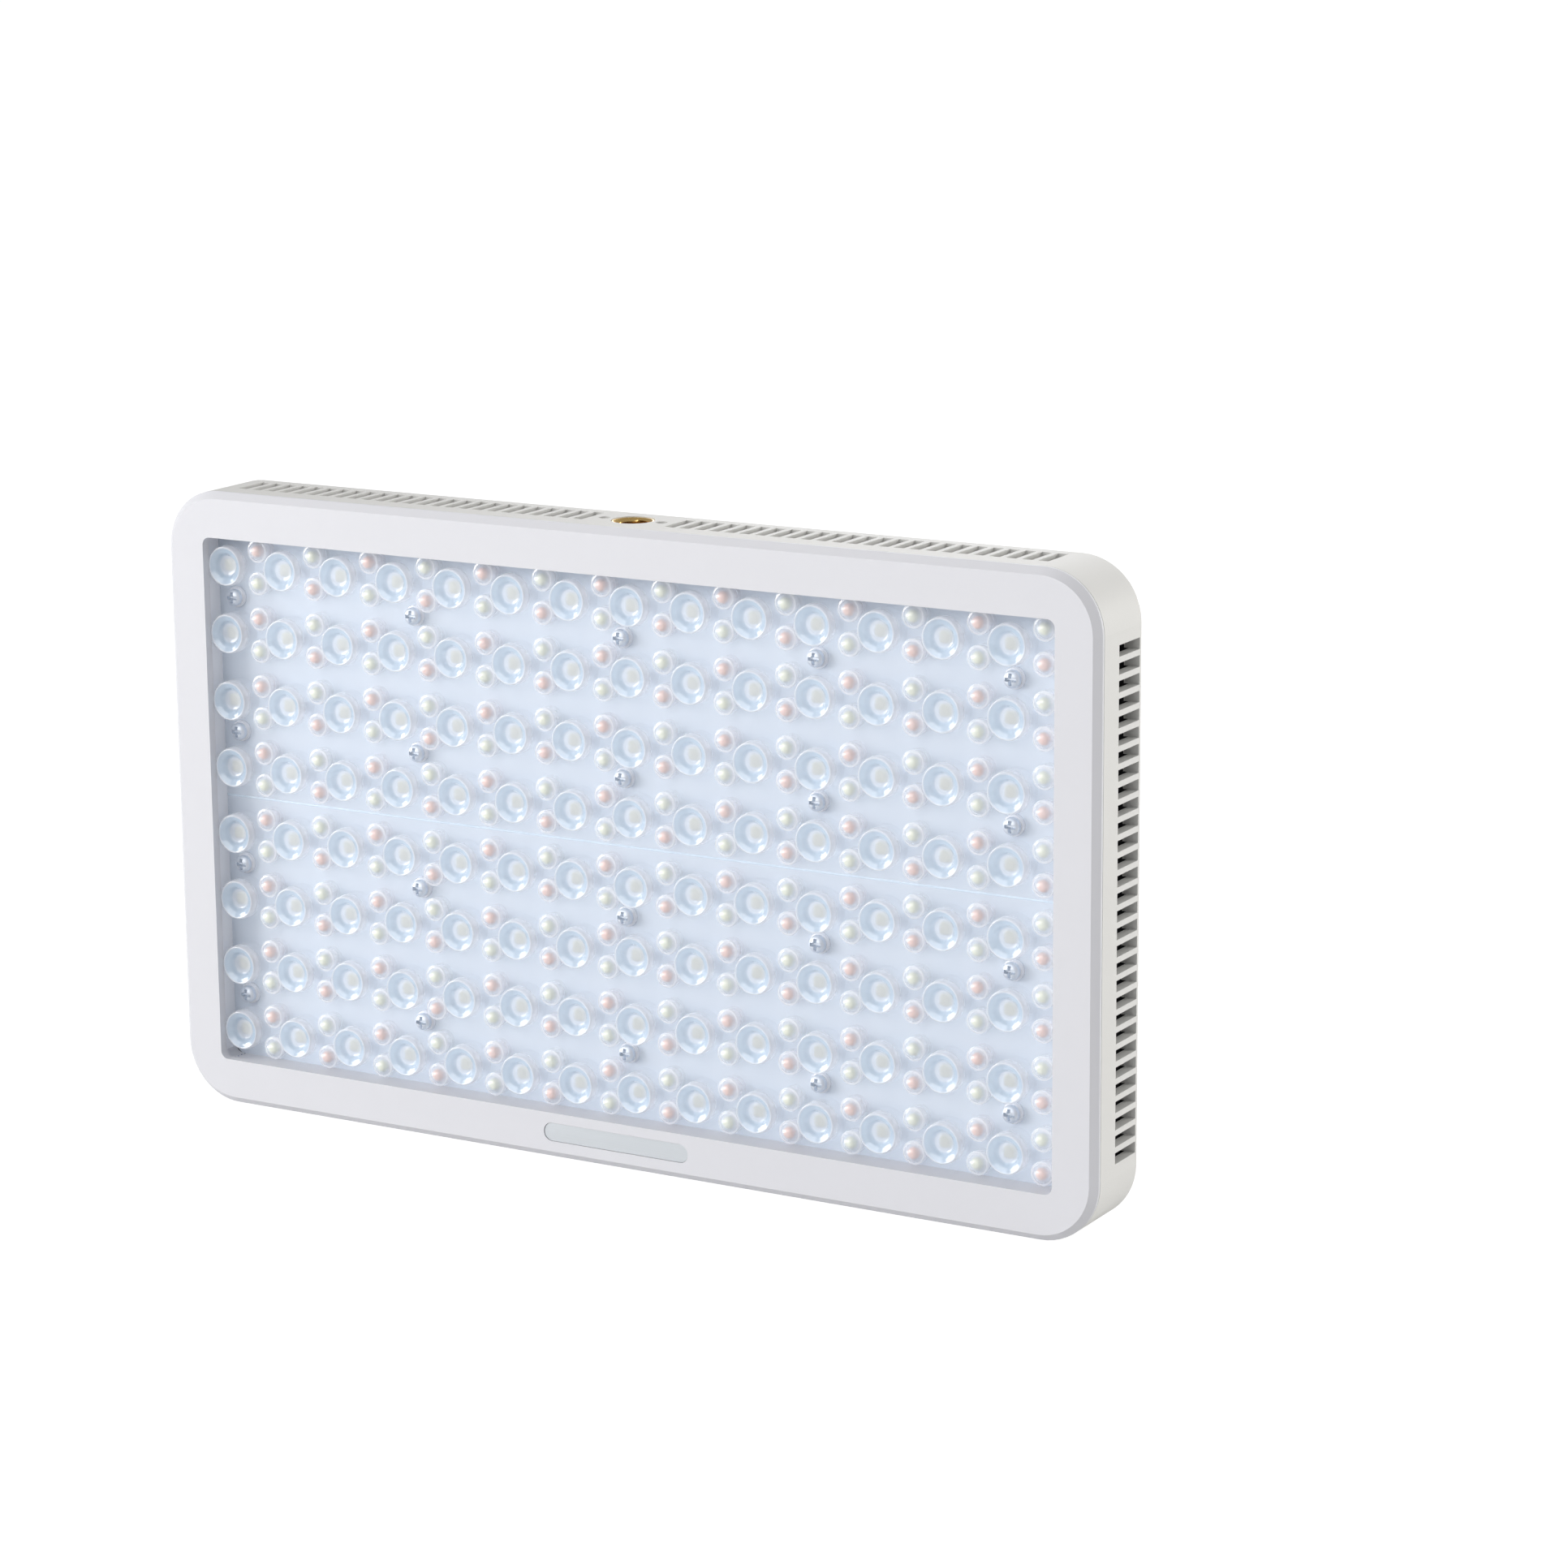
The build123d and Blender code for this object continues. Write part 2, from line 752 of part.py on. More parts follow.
def button_places():
    """Positions of the push buttons across the panel."""
    return [(index - (len(button_names) - 1) / 2) * button_pitch for index in range(len(button_names))]


def push_button(x):
    """Button cap with a flange inside the panel and a stem over its switch."""
    inner_face = cover_rear - cover_wall
    cap = rod(button_radius, inner_face - 0.6, cover_rear + button_stand, x, button_z)
    rim = cap.faces().sort_by(Axis.Y)[-1].edges()
    cap = fillet(rim, 0.5)
    flange = rod(button_flange_radius, inner_face - 1.3, inner_face - 0.3, x, button_z)
    stem = rod(1.5, control_board_rear() + tact_height + 0.6, inner_face - 1.0, x, button_z)
    return cap + [flange, stem]


def tact_switches():
    """One small switch under each button."""
    rear = control_board_rear()
    return [slab(tact_size, tact_size, rear, rear + tact_height, x=x, z=button_z) for x in button_places()]


def encoder_bodies():
    """Rotary encoders on the control board, bored for their shafts."""
    rear = control_board_rear()
    bodies = []
    for x in mirrored(knob_x):
        case = slab(encoder_size, encoder_size, rear, encoder_rear - 1.4, x=x, z=knob_z)
        bush = rod(shaft_radius + 1.5, encoder_rear - 2, encoder_rear, x, knob_z)
        bore = rod(shaft_radius + shaft_running_gap, rear + 1, encoder_rear + 1, x, knob_z)
        bodies.append(case + bush - bore)
    return bodies


def knob(x):
    """Fluted dial with a blind bore for its shaft."""
    front = cover_rear + knob_gap
    body = rod(knob_radius, front, depth, x, knob_z)
    body = chamfer(body.faces().sort_by(Axis.Y)[-1].edges(), 0.8)
    flutes = [
        rod(
            0.7,
            front + 1.0,
            depth + 1,
            x + (knob_radius + 0.25) * cos(2 * pi * index / knob_flutes),
            knob_z + (knob_radius + 0.25) * sin(2 * pi * index / knob_flutes),
        )
        for index in range(knob_flutes)
    ]
    return body - flutes - rod(shaft_radius, front - 1, depth - 2.0, x, knob_z)


def knob_shaft(x):
    """Shaft from the encoder into the dial."""
    return rod(shaft_radius, control_board_rear() + 1.2, depth - 2.0, x, knob_z)


def fan_frame():
    """Square fan frame with a round duct, a base disc on four arms and a bearing tube."""
    rear = cover_rear - cover_wall
    frame = slab(fan_size, fan_size, fan_front, rear, z=fan_z, radius=3)
    duct = rod(fan_bore, fan_front - 1, rear + 1, 0, fan_z)
    holes = [rod(m3_radius, fan_front - 1, rear + 1, x, z) for x, z in fan_screw_places()]
    arms = [
        slab(2 * fan_bore + 2, 3, rear - fan_base_thickness, rear, z=fan_z),
        slab(3, 2 * fan_bore + 2, rear - fan_base_thickness, rear, z=fan_z),
    ]
    disc = rod(fan_hub_radius, rear - fan_base_thickness, rear, 0, fan_z)
    tube = rod(fan_tube_radius, fan_front + 2.6, rear, 0, fan_z)
    bore = rod(fan_shaft_radius + shaft_running_gap, fan_front, rear - 0.5, 0, fan_z)
    return (frame - duct - holes) + arms + [disc, tube] - bore


def fan_stator():
    """Ring of windings round the bearing tube."""
    front = fan_front + 3.4
    return rod(fan_hub_radius - 2.6, front, front + 3.6, 0, fan_z) - rod(fan_tube_radius, front - 1, front + 5, 0, fan_z)


def fan_rotor():
    """Hub cup with pitched blades."""
    front = fan_front + 0.8
    rear = cover_rear - cover_wall - fan_base_thickness - 0.6
    hub = rod(fan_hub_radius, front, rear, 0, fan_z) - rod(fan_hub_radius - 1.4, front + 1.4, rear + 1, 0, fan_z)
    blade = Pos((fan_hub_radius + fan_tip_radius) / 2, 0, 0) * Rot(48, 0, 0) * Box(
        fan_tip_radius - fan_hub_radius + 3, 1.1, 13
    )
    centre = Pos(0, back((front + rear) / 2), fan_z)
    blades = [centre * Rot(0, 360 * index / fan_blades, 0) * blade for index in range(fan_blades)]
    sweep_ring = rod(fan_tip_radius, front, rear, 0, fan_z) - rod(fan_hub_radius - 0.7, front - 1, rear + 1, 0, fan_z)
    trimmed = [blade_solid & sweep_ring for blade_solid in blades]
    return hub + trimmed - rod(fan_shaft_radius, front - 1, rear + 1, 0, fan_z)


def fan_shaft():
    """Fan spindle, fixed in the hub and turning in the bearing tube."""
    return rod(fan_shaft_radius, fan_front + 0.8, cover_rear - cover_wall - 0.8, 0, fan_z)


def fan_screws():
    """Screws through the cover into the fan."""
    return [
        machine_screw(x, z, cover_rear + rear_head_height, cover_rear, fan_front + 1, 2.8, m3_radius)
        for x, z in fan_screw_places()
    ]


def battery_plate(x):
    """Plate with lipped rails for a camcorder battery, open at the top, and a terminal block at its foot."""
    rear = cover_rear + plate_base
    base = slab(plate_width, plate_height, cover_rear, rear, x=x, z=plate_z, radius=3)
    rail_x = (plate_width - rail_thickness) / 2
    pieces = []
    for side in (-1, 1):
        for z in (plate_z - 18, plate_z + 18):
            pieces.append(slab(rail_thickness, rail_length, rear - 0.5, rear + rail_height, x=x + side * rail_x, z=z))
            pieces.append(slab(rail_thickness + rail_lip, rail_length, rear + rail_height - lip_height,
                               rear + rail_height, x=x + side * (rail_x - rail_lip / 2), z=z))
    pieces.append(slab(terminal_width, terminal_height, rear - 0.5, rear + rail_height - 0.4, x=x, z=terminal_z()))
    cutters = [slab(latch_width + 2 * latch_gap, latch_height + 2 * latch_gap, cover_rear - 1, rear + 1,
                    x=x, z=latch_z())]
    cutters.append(slab(lead_width + 1, 2 * ribbon_thickness, cover_rear - 1, rear, x=x, z=terminal_z()))
    cutters += [rod(m2_clearance, cover_rear - 1, rear + 1, xs, zs) for xs, zs in plate_screw_places() if xs * x > 0]
    cutters += [rod(rear_head_radius, rear - rear_head_height, rear + 1, xs, zs)
                for xs, zs in plate_screw_places() if xs * x > 0]
    cutters += [slab(0.8, terminal_height, rear + 0.9, rear + 3.5, x=x + offset, z=terminal_z() + 1)
                for offset in (-blade_spacing, 0, blade_spacing)]
    return base + pieces - cutters


def battery_contacts():
    """Three blades that stand up out of each terminal block."""
    rear = cover_rear + plate_base
    foot = terminal_z() + 1 - terminal_height / 2
    blade_height = terminal_height / 2 + blade_length
    return [
        slab(0.8, blade_height, rear + 1.0, rear + 3.4, x=x + offset, z=foot + blade_height / 2)
        for x in mirrored(plate_x)
        for offset in (-blade_spacing, 0, blade_spacing)
    ]


def plate_screws():
    """Screws that hold the battery plates to the cover."""
    rear = cover_rear + plate_base
    tip = cover_rear - cover_wall
    return [
        machine_screw(x, z, rear - 0.2, rear - rear_head_height, tip, rear_head_radius - 0.1, m2_radius)
        for x, z in plate_screw_places()
    ]


def latch_button(x):
    """Release button that stands out of the battery plate and is kept in by its flange."""
    inner_face = cover_rear - cover_wall
    top = cover_rear + plate_base + 3.2
    stem = slab(latch_width, latch_height, inner_face - 1.0, top, x=x, z=latch_z())
    crown = stem.faces().sort_by(Axis.Y)[-1].edges()
    stem = chamfer(crown, 0.8)
    flange = slab(latch_width + 3, latch_height + 3, inner_face - 1.2, inner_face - 0.2, x=x, z=latch_z())
    return stem + flange


def latch_springs():
    """Leaves that bridge the release buttons inside the cover and push them out."""
    inner_face = cover_rear - cover_wall
    leaf_front = inner_face - 1.2 - latch_travel - 0.9
    leaves = []
    for x in mirrored(plate_x):
        leaf = slab(22, latch_height - 1, leaf_front, leaf_front + 0.5, x=x, z=latch_z())
        legs = [slab(1.0, latch_height - 1, leaf_front, inner_face, x=x + side * 10.5, z=latch_z()) for side in (-1, 1)]
        leaves.append(leaf + legs)
    return leaves


def power_board(side):
    """Board on one side of the cover: the driver on side -1, the battery charger on side 1."""
    rear = power_board_front + board_thickness
    x = side * power_board_x
    board = slab(power_board_width, power_board_height, power_board_front, rear, x=x, z=housing_opening_z)
    holes = [rod(m25_clearance, power_board_front - 1, rear + 1, xs, zs)
             for xs, zs in standoff_places() if xs * side > 0]
    return board - holes


def board_standoffs():
    """Posts from the heat sink to the power boards."""
    return [
        rod(standoff_radius, sink_rear, power_board_front, x, z)
        - rod(m25_radius, sink_rear - 1, power_board_front + 1, x, z)
        for x, z in standoff_places()
    ]


def board_screws():
    """Screws of the power boards."""
    rear = power_board_front + board_thickness
    return [
        machine_screw(x, z, rear + rear_head_height, rear, sink_rear + 1, rear_head_radius, m25_radius)
        for x, z in standoff_places()
    ]


def coils():
    """Two square inductors on each power board."""
    rear = power_board_front + board_thickness
    return [slab(12, 12, rear, rear + 6.5, x=side * 46, z=z) for side in (-1, 1) for z in (68, 92)]


def capacitors():
    """Round capacitors on each power board."""
    rear = power_board_front + board_thickness
    return [rod(4, rear, rear + 8, side * 68, z) for side in (-1, 1) for z in (64, 76, 88, 100)]


def dc_jack():
    """Power inlet with a pin in its socket."""
    outer = rod(dc_body_radius, cover_rear - 8, cover_rear + 0.8, dc_jack_x, socket_z)
    socket = rod(dc_bore_radius, cover_rear - 6, cover_rear + 2, dc_jack_x, socket_z)
    pin = rod(dc_pin_radius, cover_rear - 7, cover_rear, dc_jack_x, socket_z)
    return outer - socket + pin


def usb_socket():
    """Small data socket with its tongue and the ears that fix it behind the cover."""
    outer = slab(usb_width, usb_height, cover_rear - 7, cover_rear - 0.2, x=usb_x, z=socket_z, radius=1.6)
    mouth = slab(usb_width - 0.7, usb_height - 0.7, cover_rear - 6, cover_rear + 1, x=usb_x, z=socket_z, radius=1.25)
    tongue = slab(6.6, 0.7, cover_rear - 6.5, cover_rear - 1.2, x=usb_x, z=socket_z)
    inner_face = cover_rear - cover_wall
    ears = slab(usb_width + 8, usb_height + 3, inner_face - 1.2, inner_face, x=usb_x, z=socket_z)
    return outer + ears - mouth + tongue


def rocker_housing():
    """Body of the power switch with a flange outside the cover."""
    rear = cover_rear + rocker_flange
    flange = slab(rocker_body_width + 3, rocker_body_height + 3, cover_rear, rear, x=rocker_x, z=socket_z, radius=1.5)
    body = slab(rocker_body_width, rocker_body_height, cover_rear - 9, cover_rear, x=rocker_x, z=socket_z)
    well = slab(rocker_body_width - 3, rocker_body_height - 3, cover_rear - 6, rear + 1, x=rocker_x, z=socket_z)
    pin = Pos(rocker_x, back(rocker_pivot_t), socket_z) * Cylinder(rocker_pin_radius, rocker_body_height)
    return flange + body - well + pin


def power_rocker():
    """Cap of the power switch, bored for its pin and resting on its off side; its faces slope away from the middle."""
    half = (rocker_body_width - 3) / 2 - 0.7
    tilt = radians(rocker_rest_tilt)
    top = cover_rear + rocker_flange + 1.2
    low = cover_rear - 1.5
    drop = half * sin(tilt)
    outline = Polyline(
        (-half, back(low)), (-half, back(top - drop)), (0, back(top)), (half, back(top - drop)),
        (half, back(low)), (0, back(low - 1.6)), close=True,
    )
    cap_height = rocker_body_height - 3 - 0.6
    body = extrude(make_face(outline), amount=cap_height / 2, both=True)
    bore = Pos(0, back(rocker_pivot_t), 0) * Cylinder(rocker_pin_radius + shaft_running_gap, rocker_body_height)
    pivot = Pos(0, back(rocker_pivot_t), 0)
    tilted = pivot * Rot(0, 0, rocker_rest_tilt) * pivot.inverse() * (body - bore)
    return Pos(rocker_x, 0, socket_z) * tilted


def led_connectors():
    """Plugs on the back of the lower emitter board."""
    return [slab(ribbon_width, 5, board_rear, sink_rear, x=x, z=ribbon_z()) for x in mirrored(ribbon_x)]


def led_ribbons():
    """Flat cables from the power boards to the emitter board."""
    return [slab(ribbon_width - 1, ribbon_thickness, sink_rear, power_board_front, x=x, z=ribbon_z())
            for x in mirrored(ribbon_x)]


def battery_leads():
    """Flat leads from the terminal blocks to the power boards."""
    rear = power_board_front + board_thickness
    return [slab(lead_width, ribbon_thickness, rear, cover_rear + plate_base, x=x, z=terminal_z())
            for x in mirrored(plate_x)]


def save(node, made):
    """Write one node; a list becomes a group of separate solids."""
    shape = Compound(children=list(made)) if isinstance(made, list) else made
    export_step(shape, f"parts/{node}.step")


nodes = {
    "front_bezel": front_bezel(),
    "badge_plate": badge_plate(),
    "lens_plate_upper": lens_plate(1),
    "lens_plate_lower": lens_plate(-1),
    "lens_screws": lens_screws(),
    "lens_spacers": lens_spacers(),
    "led_board_upper": led_board(1),
    "led_board_lower": led_board(-1),
    "main_emitters": main_emitters(),
    "warm_emitters": small_emitters(True),
    "cool_emitters": small_emitters(False),
    "thermal_pads": thermal_pads(),
    "heat_sink": heat_sink(),
    "rear_housing": rear_housing(),
    "top_thread_insert": thread_insert(height - insert_inset - insert_length),
    "bottom_thread_insert": thread_insert(insert_inset),
    "bezel_screws": bezel_screws(),
    "heat_sink_screws": sink_screws(),
    "rear_cover": rear_cover(),
    "cover_screws": cover_screws(),
    "control_panel": control_panel(),
    "display_window": display_window(),
    "lcd_module": lcd_module(),
    "control_board": control_board(),
    "control_board_screws": control_board_screws(),
    "tact_switches": tact_switches(),
    "encoder_bodies": encoder_bodies(),
    "fan_frame": fan_frame(),
    "fan_stator": fan_stator(),
    "fan_rotor": fan_rotor(),
    "fan_shaft": fan_shaft(),
    "fan_screws": fan_screws(),
    "driver_board": power_board(-1),
    "battery_board": power_board(1),
    "board_standoffs": board_standoffs(),
    "board_screws": board_screws(),
    "board_coils": coils(),
    "board_capacitors": capacitors(),
    "dc_jack": dc_jack(),
    "usb_socket": usb_socket(),
    "rocker_housing": rocker_housing(),
    "power_rocker": power_rocker(),
    "led_connectors": led_connectors(),
    "led_ribbons": led_ribbons(),
    "battery_leads": battery_leads(),
    "battery_plate_screws": plate_screws(),
    "battery_contacts": battery_contacts(),
    "latch_springs": latch_springs(),
}
for button_name, button_x in zip(button_names, button_places()):
    nodes[button_name] = push_button(button_x)
for knob_name, dial_x in zip(knob_names, mirrored(knob_x)):
    nodes[f"{knob_name}_knob"] = knob(dial_x)
    nodes[f"{knob_name}_shaft"] = knob_shaft(dial_x)
for side_name, bay_x in zip(("left", "right"), mirrored(plate_x)):
    nodes[f"battery_plate_{side_name}"] = battery_plate(bay_x)
    nodes[f"latch_button_{side_name}"] = latch_button(bay_x)

for node_name, node_shape in nodes.items():
    save(node_name, node_shape)
print(len(nodes), "nodes written")
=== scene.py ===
import bmesh
import bpy
import json
import math
import numpy as np
from mathutils import Matrix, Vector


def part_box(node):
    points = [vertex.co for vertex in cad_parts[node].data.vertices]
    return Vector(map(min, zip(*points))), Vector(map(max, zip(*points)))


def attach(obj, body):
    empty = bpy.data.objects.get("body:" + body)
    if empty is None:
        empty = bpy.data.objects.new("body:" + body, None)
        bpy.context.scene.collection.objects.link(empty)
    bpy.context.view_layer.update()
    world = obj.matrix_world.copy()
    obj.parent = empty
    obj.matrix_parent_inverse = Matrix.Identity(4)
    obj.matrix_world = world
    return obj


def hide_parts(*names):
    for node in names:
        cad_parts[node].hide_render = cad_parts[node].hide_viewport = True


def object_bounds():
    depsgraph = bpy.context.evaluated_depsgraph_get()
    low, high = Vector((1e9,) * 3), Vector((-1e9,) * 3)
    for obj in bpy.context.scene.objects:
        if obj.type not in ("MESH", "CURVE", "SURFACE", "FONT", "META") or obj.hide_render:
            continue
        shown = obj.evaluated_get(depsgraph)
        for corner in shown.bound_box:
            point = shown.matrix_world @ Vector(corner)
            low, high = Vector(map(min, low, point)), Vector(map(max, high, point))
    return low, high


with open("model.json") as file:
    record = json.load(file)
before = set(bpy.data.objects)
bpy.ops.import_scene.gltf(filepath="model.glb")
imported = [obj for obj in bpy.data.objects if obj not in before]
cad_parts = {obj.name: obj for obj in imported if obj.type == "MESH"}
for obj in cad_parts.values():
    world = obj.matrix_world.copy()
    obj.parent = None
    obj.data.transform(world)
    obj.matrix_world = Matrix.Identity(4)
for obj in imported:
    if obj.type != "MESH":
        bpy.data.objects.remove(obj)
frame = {"nodes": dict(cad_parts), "record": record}
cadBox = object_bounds()
mm = 0.001
nodes = frame["nodes"]

# where the main faces of the light are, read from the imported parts
bezelLow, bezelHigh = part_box("front_bezel")
frontY = bezelLow[1]
midX = (bezelLow[0] + bezelHigh[0]) / 2
midZ = (bezelLow[2] + bezelHigh[2]) / 2


def place(t):
    # metres along Y of a place t millimetres behind the front face
    return frontY + t * mm


def middleAndHalf(node):
    # lowest and highest corner of a node, its middle in X and Z, and half its width
    low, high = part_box(node)
    return low, high, (low[0] + high[0]) / 2, (low[2] + high[2]) / 2, (high[0] - low[0]) / 2


def meshFrom(name, verts, faces, smooth=True, sharpAngle=None):
    # one mesh object from arrays of corners and faces
    mesh = bpy.data.meshes.new(name)
    mesh.from_pydata(np.asarray(verts, float).tolist(), [], [list(f) for f in faces])
    mesh.validate()
    mesh.update()
    mesh.polygons.foreach_set("use_smooth", [smooth] * len(mesh.polygons))
    piece = bpy.data.objects.new(name, mesh)
    bpy.context.scene.collection.objects.link(piece)
    if sharpAngle is not None:
        mesh.set_sharp_from_angle(angle=math.radians(sharpAngle))
    return piece


def closedForm(name, verts, faces, **settings):
    # a mesh object whose every face is turned outwards
    piece = meshFrom(name, verts, faces, **settings)
    work = bmesh.new()
    work.from_mesh(piece.data)
    bmesh.ops.recalc_face_normals(work, faces=work.faces)
    work.to_mesh(piece.data)
    work.free()
    return piece


def gridFaces(rows, columns, wrap=True):
    # quads between neighbouring rows of a grid; with wrap the last column joins the first
    i, j = np.meshgrid(np.arange(rows - 1), np.arange(columns if wrap else columns - 1), indexing="ij")
    k = (j + 1) % columns
    quads = np.stack([i * columns + j, i * columns + k, (i + 1) * columns + k, (i + 1) * columns + j], -1)
    return quads.reshape(-1, 4).tolist()


def cappedGrid(rows, columns):
    # a tube's quads, with its first and last rings filled by one face each
    last = (rows - 1) * columns
    return gridFaces(rows, columns) + [list(range(columns)), list(range(last, last + columns))]


def ringToPoint(start, sides, point):
    # triangles from the ring of corners that begins at start to one middle point
    j = np.arange(sides)
    return np.stack([np.full(sides, point), start + j, start + (j + 1) % sides], -1).tolist()


def fullTurn(sides):
    return np.linspace(0, 2 * math.pi, sides, endpoint=False)


def cornersFrom(x, y, z):
    # a grid of corners, one row after another, from three arrays that spread over the same grid
    return np.stack(np.broadcast_arrays(x, y, z), -1).reshape(-1, 3)


def turned(profile, sides):
    # a profile of (radius, depth) turned about the Y axis: x = r cos a, z = r sin a, y = depth.
    # A radius of zero closes the form with a fan of triangles.
    profile = np.asarray(profile, float)
    angle = fullTurn(sides)
    closed = profile[:, 0] <= 1e-9
    ring = profile[~closed]
    verts = cornersFrom(ring[:, :1] * np.cos(angle), ring[:, 1:], ring[:, :1] * np.sin(angle))
    faces = gridFaces(len(ring), sides)
    for end, start in ((0, 0), (-1, (len(ring) - 1) * sides)):
        if closed[end]:
            faces += ringToPoint(start, sides, len(verts))
            verts = np.vstack([verts, [0, profile[end, 1], 0]])
    return verts, faces


def repeated(verts, faces, places):
    # copies of one form at each (x, z), joined into one set of arrays, with faces of one corner count together
    shifts = np.array([(x, 0, z) for x, z in places])
    steps = np.arange(len(shifts)) * len(verts)
    allFaces = []
    for corners in sorted({len(f) for f in faces}):
        block = np.array([f for f in faces if len(f) == corners])
        allFaces += (block[None] + steps[:, None, None]).reshape(-1, corners).tolist()
    return (verts[None] + shifts[:, None]).reshape(-1, 3), allFaces


def clusters(values, gap):
    # middles of the groups in a set of numbers, where groups are more than gap apart
    ordered = np.unique(np.round(values, 6))
    cuts = np.where(np.diff(ordered) > gap)[0] + 1
    return [(group[0] + group[-1]) / 2 for group in np.split(ordered, cuts)]


def gridOf(node, gap):
    # the columns (x) and the rows (z) on which the solids of a node stand, gap apart or more
    mesh = nodes[node].data
    corners = np.empty(len(mesh.vertices) * 3)
    mesh.vertices.foreach_get("co", corners)
    return clusters(corners[0::3], gap), clusters(corners[2::3], gap)


def gridPlaces(node, gap):
    columns, rows = gridOf(node, gap)
    return [(x, z) for z in rows for x in columns]


# nodes of a material: each input is a value set on the socket, or another node's output linked to it
def addNode(tree, kind, inputs=None, **settings):
    node = tree.nodes.new("ShaderNode" + kind)
    for label, value in settings.items():
        setattr(node, label, value)
    setInputs(node, inputs or {})
    return node


def setInputs(node, inputs):
    for label, value in inputs.items():
        socket = node.inputs[label]
        if isinstance(value, bpy.types.NodeSocket):
            node.id_data.links.new(value, socket)
        elif socket.type == "RGBA":
            socket.default_value = (*value, 1)
        else:
            socket.default_value = value


def mathNode(tree, operation, *values):
    return addNode(tree, "Math", dict(enumerate(values)), operation=operation).outputs[0]


def noiseNode(tree, vector, scale, detail, roughness=0.55):
    inputs = {"Vector": vector, "Scale": scale, "Detail": detail, "Roughness": roughness}
    return addNode(tree, "TexNoise", inputs).outputs["Fac"]


def colourMix(tree, factor, a, b):
    return addNode(tree, "Mix", {0: factor, 6: a, 7: b}, data_type="RGBA").outputs[2]


def mixShader(tree, factor, first, second):
    return addNode(tree, "MixShader", {0: factor, 1: first.outputs[0], 2: second.outputs[0]}).outputs[0]


def newGroup(name, inputs, outputs):
    # an empty shared effect with named sockets, each given as its name and kind
    group = bpy.data.node_groups.new(name, "ShaderNodeTree")
    for sockets, way in ((inputs, "INPUT"), (outputs, "OUTPUT")):
        for label, kind in sockets.items():
            group.interface.new_socket(name=label, in_out=way, socket_type="NodeSocket" + kind)
    return group, group.nodes.new("NodeGroupInput").outputs, group.nodes.new("NodeGroupOutput")


surfaceInputs = {"Vector": "Vector", "Colour A": "Color", "Colour B": "Color",
                 "Rough Low": "Float", "Rough High": "Float"}
surfaceOutputs = {"Colour": "Color", "Roughness": "Float", "Height": "Float"}


def surfaceResult(group, given, end, tint, wander, height):
    # tint blends the two colours, wander runs from the low roughness to the high one
    span = mathNode(group, "SUBTRACT", given["Rough High"], given["Rough Low"])
    setInputs(end, {
        "Colour": colourMix(group, tint, given["Colour A"], given["Colour B"]),
        "Roughness": mathNode(group, "MULTIPLY_ADD", wander, span, given["Rough Low"]),
        "Height": height,
    })
    return group


def buildGrain():
    # moulded or cast surface: cloudy tint between two colours, roughness that wanders, fine pitted height
    inputs = {**surfaceInputs, "Cloud Scale": "Float", "Grain Scale": "Float"}
    group, given, end = newGroup("mouldedGrain", inputs, surfaceOutputs)
    cloud = noiseNode(group, given["Vector"], given["Cloud Scale"], 3.0)
    fine = noiseNode(group, given["Vector"], given["Grain Scale"], 2.0)
    spots = addNode(group, "TexVoronoi", {"Vector": given["Vector"], "Scale": given["Grain Scale"]})
    lesser = mathNode(group, "MULTIPLY", fine, 0.4)
    wander = mathNode(group, "ADD", mathNode(group, "MULTIPLY", cloud, 0.6), lesser)
    pits = mathNode(group, "ADD", mathNode(group, "MULTIPLY", spots.outputs["Distance"], 0.6), lesser)
    return surfaceResult(group, given, end, cloud, wander, pits)


def buildBrushed():
    # metal worked in one direction: streaks along the long scale, with a roughness and height that follow them
    group, given, end = newGroup("workedMetal", surfaceInputs, surfaceOutputs)
    streak = noiseNode(group, given["Vector"], 1.0, 5.0, 0.7)
    patch = noiseNode(group, given["Vector"], 0.07, 2.0)
    wander = mathNode(group, "MULTIPLY", mathNode(group, "ADD", streak, patch), 0.5)
    return surfaceResult(group, given, end, streak, wander, streak)


def buildInsideBox():
    # 1 inside a box given by its middle and half sizes, 0 outside. With away = |place - middle| - half, a point is
    # inside where away is below 0 on each axis and, at the four rounded corners seen along Y, where
    # max(away x + corner, 0)^2 + max(away z + corner, 0)^2 is below corner^2.
    inputs = {"Vector": "Vector", "Middle": "Vector", "Half": "Vector", "Corner": "Float"}
    group, given, end = newGroup("insideBox", inputs, {"Mask": "Float"})
    away = addNode(group, "VectorMath", {0: given["Vector"], 1: given["Middle"]}, operation="SUBTRACT")
    away = addNode(group, "VectorMath", {0: away.outputs[0]}, operation="ABSOLUTE")
    away = addNode(group, "VectorMath", {0: away.outputs[0], 1: given["Half"]}, operation="SUBTRACT")
    x, y, z = addNode(group, "SeparateXYZ", {0: away.outputs[0]}).outputs[:]
    corner = given["Corner"]
    squares = []
    for side in (x, z):
        over = mathNode(group, "MAXIMUM", mathNode(group, "ADD", side, corner), 0.0)
        squares.append(mathNode(group, "MULTIPLY", over, over))
    bend = mathNode(group, "LESS_THAN", mathNode(group, "ADD", *squares), mathNode(group, "MULTIPLY", corner, corner))
    furthest = mathNode(group, "MAXIMUM", x, mathNode(group, "MAXIMUM", y, z))
    inside = mathNode(group, "MULTIPLY", bend, mathNode(group, "LESS_THAN", furthest, 0.0))
    setInputs(end, {"Mask": inside})
    return group


grainGroup = buildGrain()
brushedGroup = buildBrushed()
insideGroup = buildInsideBox()


